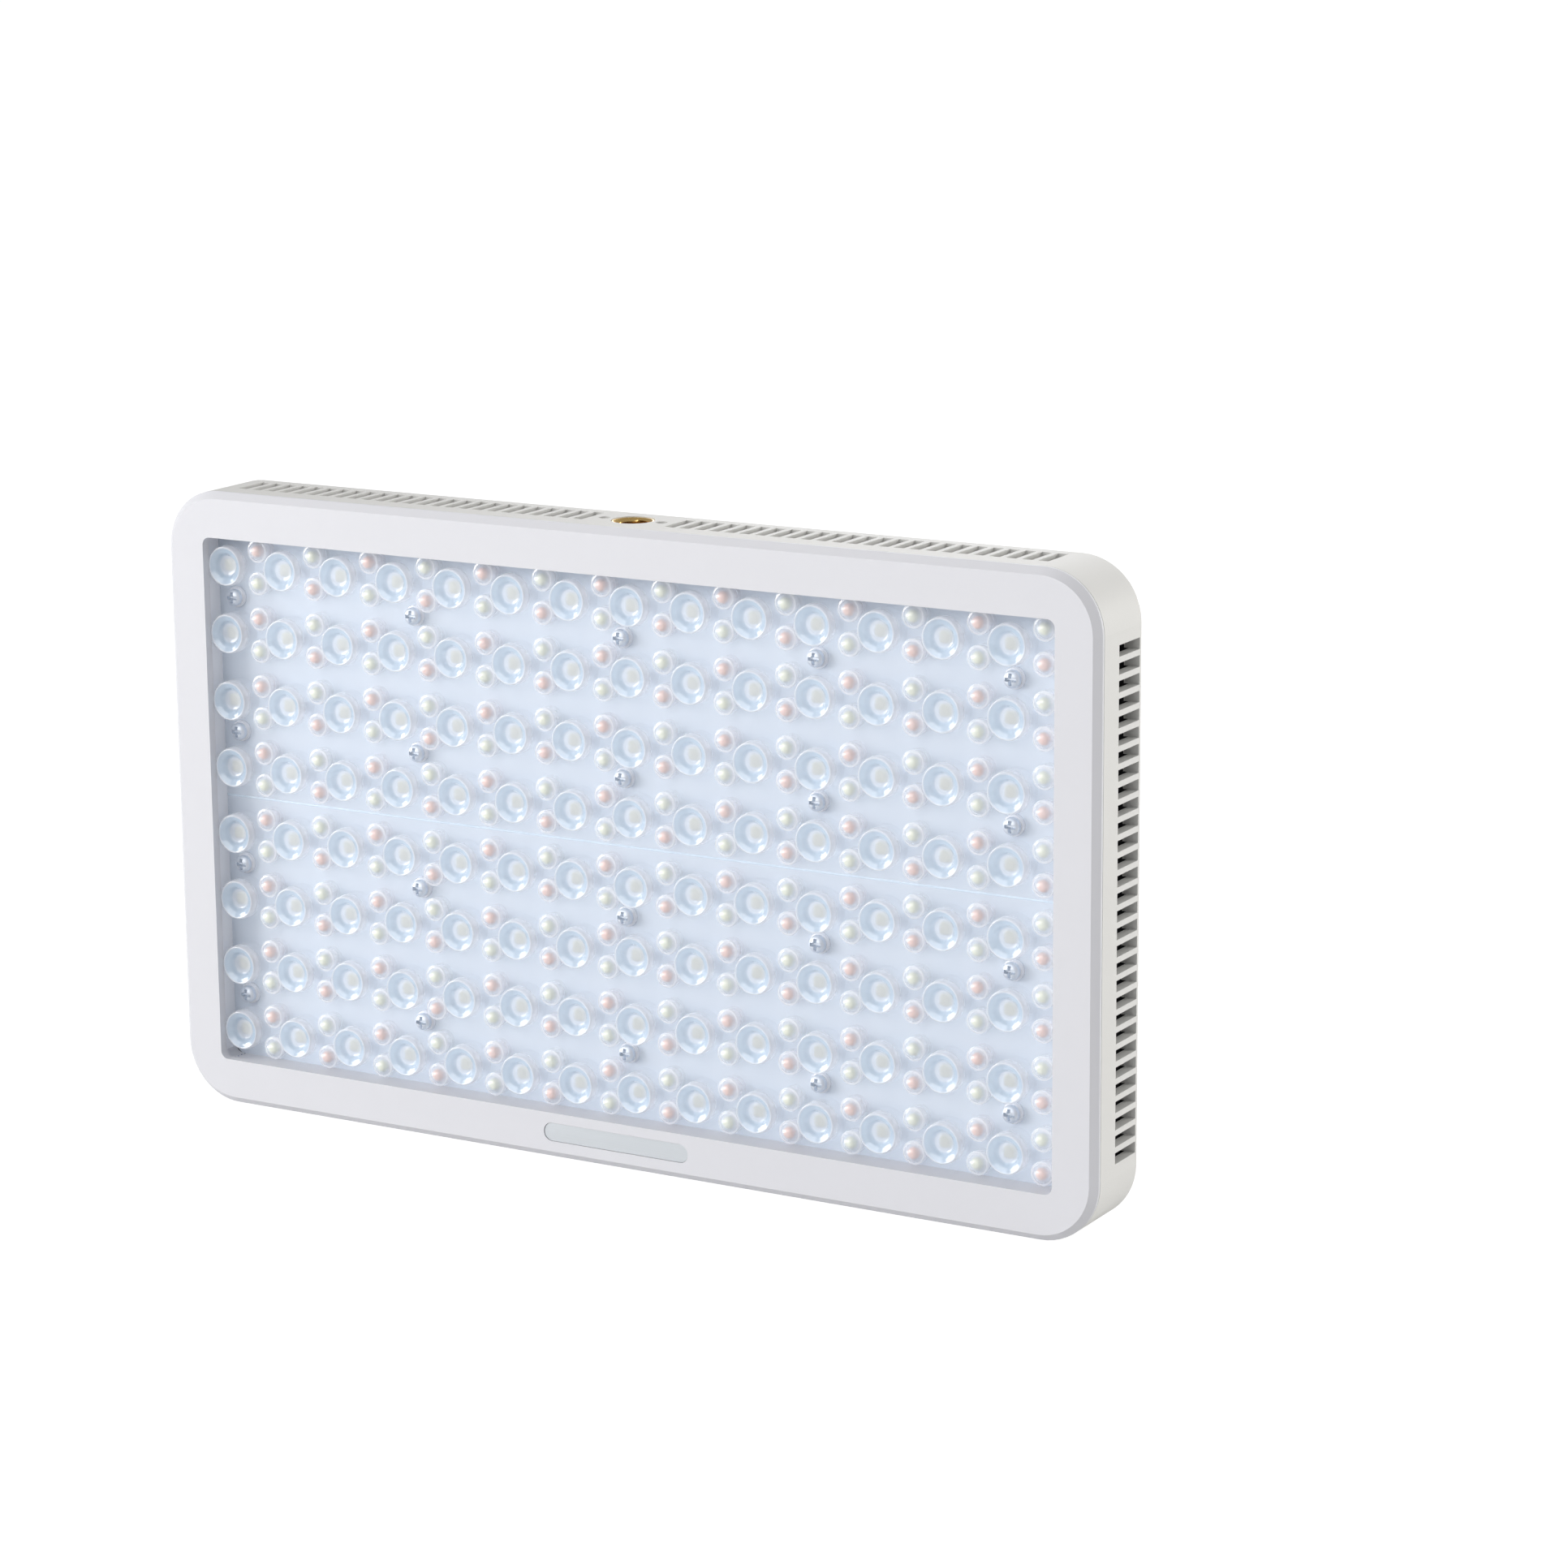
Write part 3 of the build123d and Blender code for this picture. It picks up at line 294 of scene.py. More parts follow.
def newMaterial(name, look):
    material = bpy.data.materials.new(name)
    material.use_nodes = True
    material.diffuse_color = (*look["colour"], look.get("alpha", 1))
    tree = material.node_tree
    tree.nodes.clear()
    shader = addNode(tree, "BsdfPrincipled")
    addNode(tree, "OutputMaterial", {"Surface": shader.outputs[0]})
    return material, tree, shader, addNode(tree, "TexCoord").outputs["Object"]


def addBump(tree, shader, height, strength, distance):
    bump = addNode(tree, "Bump", {"Strength": strength, "Distance": distance, "Height": height})
    setInputs(shader, {"Normal": bump.outputs[0]})


def addSurface(tree, shader, group, look, bump, distance, inputs):
    # one of the two shared surfaces, with the look's colours and roughness; gives back its colour
    surface = addNode(tree, "Group", node_tree=group)
    setInputs(surface, {"Colour A": look["colour"], "Colour B": look["cloud"],
                        "Rough Low": look["rough"][0], "Rough High": look["rough"][1], **inputs})
    setInputs(shader, {"Base Color": surface.outputs["Colour"], "Roughness": surface.outputs["Roughness"]})
    addBump(tree, shader, surface.outputs["Height"], look.get("bump", bump), distance)
    return surface.outputs["Colour"]


def paintedLightMask(tree, vector, boxes):
    # the mask for painted shade and painted bounce light: inside the first box and outside the rest
    result = None
    for middle, half, corner in boxes:
        box = addNode(tree, "Group", node_tree=insideGroup)
        setInputs(box, {"Vector": vector, "Middle": middle, "Half": half, "Corner": corner})
        mask = box.outputs["Mask"]
        if result is None:
            result = mask
        else:
            result = mathNode(tree, "MULTIPLY", result, mathNode(tree, "SUBTRACT", 1.0, mask))
    return result


def mouldedPlastic(name, look):
    # plastic or rubber out of a mould, with a near-black painted shade inside and a lighter painted bounce in the well
    # where the look has them
    material, tree, shader, vector = newMaterial(name, look)
    inputs = {"Vector": vector, "Cloud Scale": look.get("cloudScale", 22.0),
              "Grain Scale": look.get("grainScale", 2200.0)}
    colour = addSurface(tree, shader, grainGroup, look, 0.25, 0.00008, inputs)
    # a lighter lavender painted on the well's walls: painted bounce light from the lenses on their shaded sides
    if "wellTint" in look:
        colour = colourMix(tree, paintedLightMask(tree, vector, wellPaintedBounceBox), colour, look["wellTint"])
    # near-black painted shade inside the shells
    if "coatInside" in look:
        colour = colourMix(tree, paintedLightMask(tree, vector, look["coatInside"]), colour, paintedShadeColour)
    setInputs(shader, {"Base Color": colour, "Specular IOR Level": look.get("specular", 0.4),
                       "Coat Weight": look.get("coat", 0.0)})
    return material


def workedMetal(name, look):
    # turned, drawn or brushed metal; stretch sets which way the streaks run
    material, tree, shader, vector = newMaterial(name, look)
    mapping = addNode(tree, "Mapping", {"Scale": look["stretch"], "Vector": vector})
    addSurface(tree, shader, brushedGroup, look, 0.15, 0.00005, {"Vector": mapping.outputs[0]})
    setInputs(shader, {"Metallic": 1.0})
    return material


# the shells are painted near-black inside, a painted shade for the dark interior seen through the slots; slot walls
# and the well stay white
shellHalf = ((bezelHigh[0] - bezelLow[0]) / 2, (bezelHigh[2] - bezelLow[2]) / 2)
wellLow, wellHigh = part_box("lens_plate_upper")
wellHalf = ((wellHigh[0] - wellLow[0]) / 2, wellHigh[2] - midZ)
wallHalf = 68.1 * mm


def paintedLightBox(halfX, halfZ, t0, t1, corner):
    # a box about the middle of the light from t0 to t1 behind the front face: middle, half sizes, corner radius
    return ((midX, place((t0 + t1) / 2), midZ), (halfX, (t1 - t0) * mm / 2, halfZ), corner * mm)


housingPaintedShade = [paintedLightBox(shellHalf[0] - 2.6 * mm, shellHalf[1] - 2.6 * mm, 2.7, 20.5, 12.6)]
bezelPaintedShade = [
    paintedLightBox(shellHalf[0] - 2.2 * mm, shellHalf[1] - 2.2 * mm, 2.5, 15.0, 12.9),
    paintedLightBox(wellHalf[0] - 0.4 * mm, wellHalf[1] - 0.4 * mm, 2.3, 15.1, 4.0),
]
spacerPaintedShade = [
    paintedLightBox(shellHalf[0], shellHalf[1], 2.5, 15.0, 12.9),
    paintedLightBox(wellHalf[0] - 0.5 * mm, wellHalf[1] - 0.5 * mm, 2.3, 15.1, 5.5),
]
# the well's walls, which get the painted bounce light
wellPaintedBounceBox = [paintedLightBox(119.96 * mm, wallHalf - 0.2 * mm, 2.45, 8.2, 2.1)]
# the colour of the painted shade inside the shells
paintedShadeColour = (0.025, 0.025, 0.027)

finishes = {
    # the bezel gets a lighter painted bounce in the well and a near-black painted shade inside
    "bezelWhite": {"colour": (0.745, 0.745, 0.775), "cloud": (0.735, 0.735, 0.765), "rough": (0.42, 0.52),
                   "bump": 0.12, "grainScale": 2600.0, "specular": 0.35, "coatInside": bezelPaintedShade,
                   "wellTint": (0.96, 0.97, 1.0)},
    "housingWhite": {"colour": (0.745, 0.74, 0.715), "cloud": (0.73, 0.725, 0.70), "rough": (0.46, 0.58),
                     "bump": 0.2, "grainScale": 2400.0, "specular": 0.35, "coatInside": housingPaintedShade},
    # the ribs' dark tone is painted shade for the shaded lines along the well's ridges
    "ribLavender": {"colour": (0.38, 0.40, 0.49), "cloud": (0.34, 0.36, 0.45), "rough": (0.45, 0.55)},
    "nylonSpacer": {"colour": (0.66, 0.70, 0.80), "cloud": (0.60, 0.64, 0.75), "rough": (0.35, 0.5),
                    "coatInside": spacerPaintedShade},
    "boardMask": {"colour": (0.62, 0.70, 0.85), "cloud": (0.66, 0.73, 0.87), "rough": (0.25, 0.38),
                  "cloudScale": 9.0, "bump": 0.08, "coat": 0.2},
    "siliconePad": {"colour": (0.42, 0.47, 0.58), "cloud": (0.38, 0.43, 0.53), "rough": (0.7, 0.85)},
    "panelGrey": {"colour": (0.055, 0.057, 0.062), "cloud": (0.065, 0.067, 0.072), "rough": (0.4, 0.55), "bump": 0.4,
                  "grainScale": 1700.0},
    "plateGrey": {"colour": (0.035, 0.035, 0.038), "cloud": (0.045, 0.045, 0.05), "rough": (0.42, 0.58), "bump": 0.35},
    "latchGrey": {"colour": (0.32, 0.33, 0.35), "cloud": (0.27, 0.28, 0.30), "rough": (0.35, 0.48)},
    "partBlack": {"colour": (0.018, 0.018, 0.02), "cloud": (0.028, 0.028, 0.03), "rough": (0.38, 0.55), "bump": 0.3},
    "rockerBlack": {"colour": (0.015, 0.015, 0.016), "cloud": (0.022, 0.022, 0.024), "rough": (0.16, 0.26),
                    "bump": 0.05, "coat": 0.4},
    "buttonRubber": {"colour": (0.055, 0.055, 0.058), "cloud": (0.04, 0.04, 0.043), "rough": (0.6, 0.75), "bump": 0.3},
    "knobGrey": {"colour": (0.045, 0.045, 0.048), "cloud": (0.06, 0.06, 0.064), "rough": (0.4, 0.55), "bump": 0.3},
    "cableGrey": {"colour": (0.42, 0.43, 0.45), "cloud": (0.36, 0.37, 0.39), "rough": (0.45, 0.6)},
    "emitterCase": {"colour": (0.80, 0.80, 0.76), "cloud": (0.74, 0.74, 0.70), "rough": (0.35, 0.5)},
    "fanBlack": {"colour": (0.022, 0.022, 0.024), "cloud": (0.032, 0.032, 0.034), "rough": (0.3, 0.42), "bump": 0.15},
    "markWhite": {"colour": (0.72, 0.72, 0.73), "cloud": (0.66, 0.66, 0.67), "rough": (0.4, 0.5), "bump": 0.1},
}
metals = {
    "badgeSilver": {"colour": (0.80, 0.83, 0.85), "cloud": (0.73, 0.76, 0.78), "rough": (0.36, 0.5),
                    "stretch": (60.0, 400.0, 3500.0)},
    "screwSteel": {"colour": (0.55, 0.56, 0.58), "cloud": (0.42, 0.43, 0.45), "rough": (0.22, 0.4),
                   "stretch": (900.0, 900.0, 900.0)},
    "screwNickel": {"colour": (0.84, 0.88, 0.94), "cloud": (0.74, 0.79, 0.86), "rough": (0.48, 0.6),
                    "stretch": (900.0, 900.0, 900.0)},
    "stampedSteel": {"colour": (0.60, 0.61, 0.62), "cloud": (0.50, 0.51, 0.53), "rough": (0.25, 0.38),
                     "stretch": (300.0, 1500.0, 1500.0)},
    "sinkAluminium": {"colour": (0.045, 0.045, 0.048), "cloud": (0.07, 0.07, 0.074), "rough": (0.35, 0.5),
                      "stretch": (1500.0, 1500.0, 60.0)},
    "insertBrass": {"colour": (0.78, 0.55, 0.22), "cloud": (0.62, 0.40, 0.14), "rough": (0.18, 0.34),
                    "stretch": (700.0, 700.0, 4000.0)},
    "contactGold": {"colour": (0.90, 0.68, 0.28), "cloud": (0.80, 0.58, 0.22), "rough": (0.15, 0.28),
                    "stretch": (2500.0, 2500.0, 150.0)},
    "windingCopper": {"colour": (0.70, 0.30, 0.14), "cloud": (0.52, 0.20, 0.09), "rough": (0.25, 0.4),
                      "stretch": (900.0, 6000.0, 900.0)},
}


def polish(tree, shader, vector, look):
    # the faint swirl of a polished moulding in its roughness and height; gives back the swirl
    swirl = noiseNode(tree, vector, 240.0, 2.0)
    low, high = look["rough"]
    setInputs(shader, {"Roughness": mathNode(tree, "MULTIPLY_ADD", swirl, high - low, low)})
    addBump(tree, shader, swirl, look["bump"], 0.0001)
    return swirl


def letLampsThrough(tree, shader, look):
    # rays from lamps pass the plastic, or the share of them that the look gives, so that what is behind is lit
    clear = addNode(tree, "BsdfTransparent", {0: look["pass"]})
    share = mathNode(tree, "MULTIPLY", addNode(tree, "LightPath").outputs["Is Shadow Ray"], look["passShare"])
    setInputs(tree.nodes["Material Output"], {"Surface": mixShader(tree, share, shader, clear)})


def clearAcrylic(name, look):
    # polished clear plastic
    material, tree, shader, vector = newMaterial(name, look)
    polish(tree, shader, vector, look)
    setInputs(shader, {"Base Color": look["colour"], "Transmission Weight": look["clear"], "IOR": look["ior"]})
    letLampsThrough(tree, shader, look)
    return material


def milkyAcrylic(name, look):
    # moulded clear plastic as the eye sees it: part see-through, less so where the piece's "veil" attribute is
    # high, and bluer where its tint attribute is, a painted tint for the blue board seen through the bowl
    material, tree, shader, vector = newMaterial(name, look)
    tone, veil = (addNode(tree, "Attribute", attribute_name=label).outputs["Fac"] for label in ("tone", "veil"))
    body = colourMix(tree, polish(tree, shader, vector, look), look["colour"], look["cloud"])
    setInputs(shader, {
        # the bowl walls are painted the pale blue of the board seen through them
        "Base Color": colourMix(tree, tone, body, look["wall"]), "Transmission Weight": look["clear"],
        "IOR": look["ior"], "Coat Weight": look["coat"], "Coat IOR": look["coatIndex"],
        # painted glow: the lens plastic glows faintly though it is no lamp, lifting its shade
        "Emission Color": look["colour"], "Emission Strength": look["glow"],
        "Alpha": mathNode(tree, "MULTIPLY", veil, look["alpha"]),
    })
    letLampsThrough(tree, shader, look)
    return material


def thinSheet(name, look):
    # the flat web between the lenses, seen nearly clear
    material, tree, shader, vector = newMaterial(name, look)
    haze = noiseNode(tree, vector, 90.0, 3.0)
    setInputs(shader, {"Base Color": colourMix(tree, haze, look["colour"], look["cloud"]), "Alpha": look["alpha"],
                       "Roughness": mathNode(tree, "MULTIPLY_ADD", haze, 0.08, 0.05)})
    return material


def phosphor(name, look):
    # soft yellow or orange gel over the emitter, with fine specks and a slow drift of tint
    material, tree, shader, vector = newMaterial(name, look)
    speck = noiseNode(tree, vector, 1900.0, 3.0)
    drift = noiseNode(tree, vector, 120.0, 2.0)
    tint = mathNode(tree, "MULTIPLY", mathNode(tree, "ADD", speck, drift), 0.5)
    setInputs(shader, {"Base Color": colourMix(tree, tint, look["colour"], look["cloud"]), "Coat Weight": 0.3,
                       "Roughness": mathNode(tree, "MULTIPLY_ADD", speck, 0.2, 0.3)})
    addBump(tree, shader, speck, 0.2, 0.0001)
    return material


def circuitBoard(name, look):
    # solder mask over tracks: tracks stand a little proud and show lighter
    material, tree, shader, vector = newMaterial(name, look)
    turn = addNode(tree, "Mapping", {"Vector": vector, "Rotation": (math.radians(90), 0, 0)})
    lanes = addNode(tree, "TexBrick", {
        "Vector": turn.outputs[0], "Color1": look["colour"], "Color2": look["cloud"], "Mortar": look["gap"],
        "Scale": look["scale"], "Mortar Size": 0.03, "Brick Width": 1.7, "Row Height": 0.21,
    })
    setInputs(shader, {"Base Color": lanes.outputs["Color"],
                       "Roughness": mathNode(tree, "MULTIPLY_ADD", lanes.outputs["Fac"], 0.2, 0.3)})
    addBump(tree, shader, lanes.outputs["Fac"], 0.2, 0.00005)
    return material


def darkGlass(name, look):
    # the display: near-black and glossy, with a faint grid of cells under it
    material, tree, shader, vector = newMaterial(name, look)
    cells = addNode(tree, "TexChecker", {"Vector": vector, "Scale": 3200.0, "Color1": look["colour"],
                                         "Color2": look["cloud"]})
    smear = noiseNode(tree, vector, 60.0, 3.0)
    setInputs(shader, {"Base Color": cells.outputs["Color"], "Coat Weight": 0.5,
                       "Roughness": mathNode(tree, "MULTIPLY_ADD", smear, 0.08, 0.04)})
    return material


# glow is a painted glow on the lens plastic, standing for light carried inside it
lensBody = {"colour": (0.95, 0.95, 0.99), "cloud": (0.93, 0.94, 0.98), "wall": (0.58, 0.74, 0.90), "ior": 1.49,
            "rough": (0.10, 0.16), "bump": 0.03, "clear": 0.12, "coat": 1.0, "coatIndex": 1.8, "alpha": 0.6,
            "pass": (0.98, 0.99, 1.0), "passShare": 0.9, "glow": 0.07}
otherFinishes = {
    "lensAcrylic": (milkyAcrylic, lensBody),
    "lensSmall": (milkyAcrylic, {**lensBody, "alpha": 0.55}),
    "lensBead": (milkyAcrylic, {**lensBody, "colour": (0.76, 0.86, 0.96), "cloud": (0.74, 0.84, 0.95), "alpha": 0.8}),
    "lensWeb": (thinSheet, {"colour": (0.81, 0.875, 0.97), "cloud": (0.78, 0.855, 0.96), "alpha": 0.84}),
    "windowClear": (clearAcrylic, {"colour": (0.9, 0.94, 0.98), "ior": 1.49, "rough": (0.01, 0.06), "bump": 0.04,
                                   "clear": 1.0, "pass": (0.94, 0.96, 1.0), "passShare": 1.0}),
    "phosphorMain": (phosphor, {"colour": (0.60, 0.57, 0.43), "cloud": (0.56, 0.56, 0.54)}),
    "phosphorWarm": (phosphor, {"colour": (0.98, 0.40, 0.18), "cloud": (0.97, 0.62, 0.44)}),
    "phosphorCool": (phosphor, {"colour": (0.92, 0.85, 0.44), "cloud": (0.90, 0.88, 0.66)}),
    "circuitGreen": (circuitBoard, {"colour": (0.02, 0.12, 0.06), "cloud": (0.03, 0.16, 0.08),
                                    "gap": (0.01, 0.06, 0.03), "scale": 90.0}),
    "displayDark": (darkGlass, {"colour": (0.010, 0.012, 0.016), "cloud": (0.016, 0.019, 0.025)}),
}
made = {name: mouldedPlastic(name, look) for name, look in finishes.items()}
made.update({name: workedMetal(name, look) for name, look in metals.items()})
made.update({name: make(name, look) for name, (make, look) in otherFinishes.items()})
print("finishes made:", len(made))

nodeFinish = {
    "bezelWhite": "front_bezel", "badgeSilver": "badge_plate", "housingWhite": "rear_housing rear_cover",
    "screwSteel": "lens_screws control_board_screws board_screws bezel_screws heat_sink_screws cover_screws "
                  "fan_screws battery_plate_screws",
    "nylonSpacer": "lens_spacers led_connectors", "boardMask": "led_board_upper led_board_lower",
    "siliconePad": "thermal_pads", "sinkAluminium": "heat_sink", "panelGrey": "control_panel",
    "windowClear": "display_window", "displayDark": "lcd_module",
    "circuitGreen": "control_board driver_board battery_board",
    "partBlack": "tact_switches fan_frame fan_rotor board_coils board_capacitors dc_jack rocker_housing",
    "stampedSteel": "encoder_bodies fan_shaft usb_socket latch_springs intensity_shaft colour_shaft",
    "windingCopper": "fan_stator", "insertBrass": "board_standoffs top_thread_insert bottom_thread_insert",
    "rockerBlack": "power_rocker", "cableGrey": "led_ribbons battery_leads", "contactGold": "battery_contacts",
    "plateGrey": "battery_plate_left battery_plate_right", "latchGrey": "latch_button_left latch_button_right",
    "buttonRubber": "menu_button mode_button effects_button wireless_button",
    "knobGrey": "intensity_knob colour_knob", "phosphorMain": "main_emitters", "phosphorWarm": "warm_emitters",
    "phosphorCool": "cool_emitters", "lensAcrylic": "lens_plate_upper lens_plate_lower",
}
for finishName, names in nodeFinish.items():
    for nodeName in names.split():
        slots = nodes[nodeName].data.materials
        slots.clear()
        slots.append(made[finishName])


def finished(piece, finishName, body, slotName, *hidden):
    # gives a piece its material, its body and the CAD nodes it stands for, which it hides; slotName is not used
    piece.data.materials.append(made[finishName])
    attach(piece, body)
    if hidden:
        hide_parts(*hidden)
    return piece


# A lens is a closed form turned about the depth axis: its profile is (radius, depth behind the front
# face) in millimetres, from the middle of its front, over the rim and barrel, to the hollow over the emitter.
lensLook = {
    "bigLenses": {
        "profile": [
            (0, 3.9), (1.3, 3.92), (2.3, 3.94), (2.65, 3.8), (2.95, 3.3), (3.2, 2.92), (3.45, 2.7), (3.85, 2.52),
            (4.3, 2.31), (4.55, 2.16), (4.72, 2.11), (4.88, 2.2), (5.05, 2.7), (5.18, 3.5), (5.28, 4.6), (5.3, 8.2),
            (4.6, 9.7), (2.9, 10.2), (2.7, 10.1), (2.65, 5.2), (2.5, 4.7), (0, 4.6),
        ],
        "sides": 24, "barrelFrom": 3.95, "finish": "lensAcrylic",
    },
    "smallLenses": {
        "profile": [
            (0, 2.4), (0.85, 2.55), (1.6, 3.0), (2.15, 3.75), (2.35, 4.4), (2.45, 4.62), (2.75, 4.5), (2.95, 4.62),
            (3.0, 5.0), (2.98, 9.0), (2.6, 10.0), (2.1, 10.1), (2.05, 4.95), (1.7, 4.0), (1.0, 3.4), (0, 3.2),
        ],
        "sides": 16, "barrelFrom": 5.0, "finish": "lensSmall",
    },
    # where the painted blue of the board seen through the bowl goes, by radius and depth
    "wall": {"inner": 2.3, "outer": 4.8, "deepest": 4.1, "innerRamp": 0.4, "outerRamp": 0.5, "floorTone": 0.4},
    "floorVeil": 0.7,
    "floorRadius": 1.6,
    "barrelVeil": 0.16,
}
sheetLook = {"front": 8.0, "rear": 10.0, "edge": 0.12, "seamGap": 0.02, "corner": 6.0, "seamCorner": 0.3, "steps": 10,
             "beadHalf": 0.26, "beadRise": 0.1, "beadSteps": 7, "beadSunk": 0.1, "beadShortBy": 0.5}
emitterColumns, emitterRows = gridOf("main_emitters", 4 * mm)
smallRows = gridOf("warm_emitters", 3.1 * mm)[1]
smallColumns = [x + (emitterColumns[1] - emitterColumns[0]) / 2 for x in emitterColumns]


def inMetres(profile):
    # a profile in millimetres behind the front face, as metres in the frame
    points = np.asarray(profile, float) * mm
    points[:, 1] += frontY
    return points


def webSheet(name, node):
    # the flat sheet: the outline of the CAD half plate as a rounded rectangle, swept from front to back.
    # Outline: four quarter circles joined by straight sides, as an array of (x, z).
    low, high = (np.array(corner)[[0, 2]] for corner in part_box(node))
    upper = low[1] + high[1] > 2 * midZ
    gap, edge = sheetLook["seamGap"] * mm, sheetLook["edge"]
    if upper:
        low[1] = midZ + gap
    else:
        high[1] = midZ - gap
    quarter = np.linspace(0, math.pi / 2, sheetLook["steps"])
    outer, seam = sheetLook["corner"] * mm, sheetLook["seamCorner"] * mm
    corners = []
    for index, r in enumerate((outer, outer, seam, seam) if upper else (seam, seam, outer, outer)):
        cx = (high[0] - r) if index in (0, 3) else (low[0] + r)
        cz = (high[1] - r) if index in (0, 1) else (low[1] + r)
        turn = quarter + index * math.pi / 2
        corners.append(np.stack([cx + r * np.cos(turn), cz + r * np.sin(turn)], -1))
    outline = np.vstack(corners)
    middle = (low + high) / 2
    inner = middle + (outline - middle) * (1 - edge * mm / ((high - low) / 2))
    rings = [(inner, sheetLook["front"]), (outline, sheetLook["front"] + edge),
             (outline, sheetLook["rear"] - edge), (inner, sheetLook["rear"])]
    verts = np.vstack([np.insert(ring, 1, place(t), axis=1) for ring, t in rings])
    return closedForm(name, verts, cappedGrid(len(rings), len(outline)), smooth=False)


def radiusAndDepth(verts):
    return np.hypot(verts[:, 0], verts[:, 2]) / mm, (verts[:, 1] - frontY) / mm


def wallPaintedTint(verts):
    # how much of the painted blue of the board seen through the bowl: 1 on the steep wall of a bowl, less on its
    # floor: a ramp up from the floor's edge times a ramp down to the lip
    radius, depth = radiusAndDepth(verts)
    wall = lensLook["wall"]
    up = np.clip((radius - wall["inner"]) / wall["innerRamp"], wall["floorTone"], 1)
    down = np.clip((wall["outer"] - radius) / wall["outerRamp"], 0, 1)
    return up * down * (depth < wall["deepest"])


def frontVeil(verts, barrelFrom):
    # 1 on the optical front, falling to the barrel's share over one millimetre behind barrelFrom, and
    # thinner towards the middle of the floor
    radius, depth = radiusAndDepth(verts)
    share, thin = lensLook["barrelVeil"], lensLook["floorVeil"]
    middle = thin + (1 - thin) * np.clip(radius - lensLook["floorRadius"], 0, 1)
    return (share + (1 - share) * np.clip(barrelFrom + 1 - depth, 0, 1)) * middle


def giveValues(piece, tone=0.0, veil=1.0):
    # the two attributes that the milky acrylic reads, one number for the whole piece or one for each corner
    for label, values in (("tone", tone), ("veil", veil)):
        spread = np.broadcast_to(np.asarray(values, "f"), len(piece.data.vertices))
        piece.data.attributes.new(label, "FLOAT", "POINT").data.foreach_set("value", spread.copy())


for half, side in (("Upper", 1), ("Lower", -1)):
    node = f"lens_plate_{half.lower()}"
    finished(webSheet(f"lensWeb{half}", node), "lensWeb", "panel", "lens_clear", node)
    for label, columns, rows in (("bigLenses", emitterColumns, emitterRows), ("smallLenses", smallColumns, smallRows)):
        look = lensLook[label]
        places = [(x, z) for z in rows for x in columns if (z - midZ) * side > 0]
        verts, faces = turned(inMetres(look["profile"]), look["sides"])
        lenses = closedForm(f"{label}{half}", *repeated(verts, faces, places))
        giveValues(lenses, np.tile(wallPaintedTint(verts), len(places)),
                   np.tile(frontVeil(verts, look["barrelFrom"]), len(places)))
        finished(lenses, look["finish"], "panel", "lens_clear")


def seamBead():
    # the joint between the halves: a half round strip along X, its depth a half sine across its width
    low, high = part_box("lens_plate_upper")
    shortBy, sunk = sheetLook["beadShortBy"] * mm, sheetLook["beadSunk"] * mm
    turn = np.linspace(0, math.pi, sheetLook["beadSteps"])
    front = place(sheetLook["front"])
    y = np.concatenate([front - sheetLook["beadRise"] * mm * np.sin(turn), [front + sunk, front + sunk]])
    z = midZ + sheetLook["beadHalf"] * mm * np.concatenate([np.cos(turn), [-1, 1]])
    x = np.repeat([low[0] + shortBy, high[0] - shortBy], len(y))
    verts = np.stack([x, np.tile(y, 2), np.tile(z, 2)], -1)
    strip = closedForm("seamBead", verts, cappedGrid(2, len(y)), sharpAngle=50)
    giveValues(strip)
    finished(strip, "lensBead", "panel", "lens_clear")


seamBead()
print("lenses made")

# collars round the lens screws, one clear ring at each
collarLook = {"profile": [(1.5, 8.3), (1.5, 7.05), (2.3, 7.0), (2.55, 7.1), (2.7, 7.4), (2.8, 8.3), (1.5, 8.3)],
              "sides": 20}
collarForm = turned(inMetres(collarLook["profile"]), collarLook["sides"])
collars = closedForm("screwCollars", *repeated(*collarForm, gridPlaces("lens_screws", 8 * mm)))
giveValues(collars)
finished(collars, "lensAcrylic", "panel", "lens_clear")

# An emitter is a low dome on a rounded square: radius follows |cos|^n + |sin|^n = 1, height falls as 1 - r^2.
emitterLook = {
    "power": 5.0, "sides": 16, "rings": 4,
    "case": {"half": 1.7, "wall": 0.55, "rise": 0.0},
    "main": {"half": 1.3, "wall": 0.6, "rise": 0.35},
    "small": {"half": 1.25, "wall": 0.45, "rise": 0.35},
    "squareGel": {"half": 1.6, "wall": 0.9, "rise": 0.15, "base": 5.6},
    "smallGel": [(0, 3.55), (0.85, 3.62), (1.3, 3.95), (1.55, 4.75), (1.4, 5.4), (0, 5.4)],
    "smallGelSides": 14,
}


def squareDome(look, base):
    half, wallHeight, rise = (look[key] * mm for key in ("half", "wall", "rise"))
    sides, power = emitterLook["sides"], emitterLook["power"]
    angle = fullTurn(sides)
    reach = (np.abs(np.cos(angle)) ** power + np.abs(np.sin(angle)) ** power) ** (-1 / power)
    share = np.linspace(1, 0, emitterLook["rings"] + 1)[:-1]
    radius = half * np.concatenate([[1.0], share])[:, None]
    depth = np.concatenate([[base], base - wallHeight - rise * (1 - share ** 2)])
    verts = cornersFrom(radius * reach * np.cos(angle), depth[:, None], radius * reach * np.sin(angle))
    faces = gridFaces(len(depth), sides) + ringToPoint(len(verts) - sides, sides, len(verts))
    faces += ringToPoint(0, sides, len(verts) + 1)
    return np.vstack([verts, [0, base - wallHeight - rise, 0], [0, base, 0]]), faces


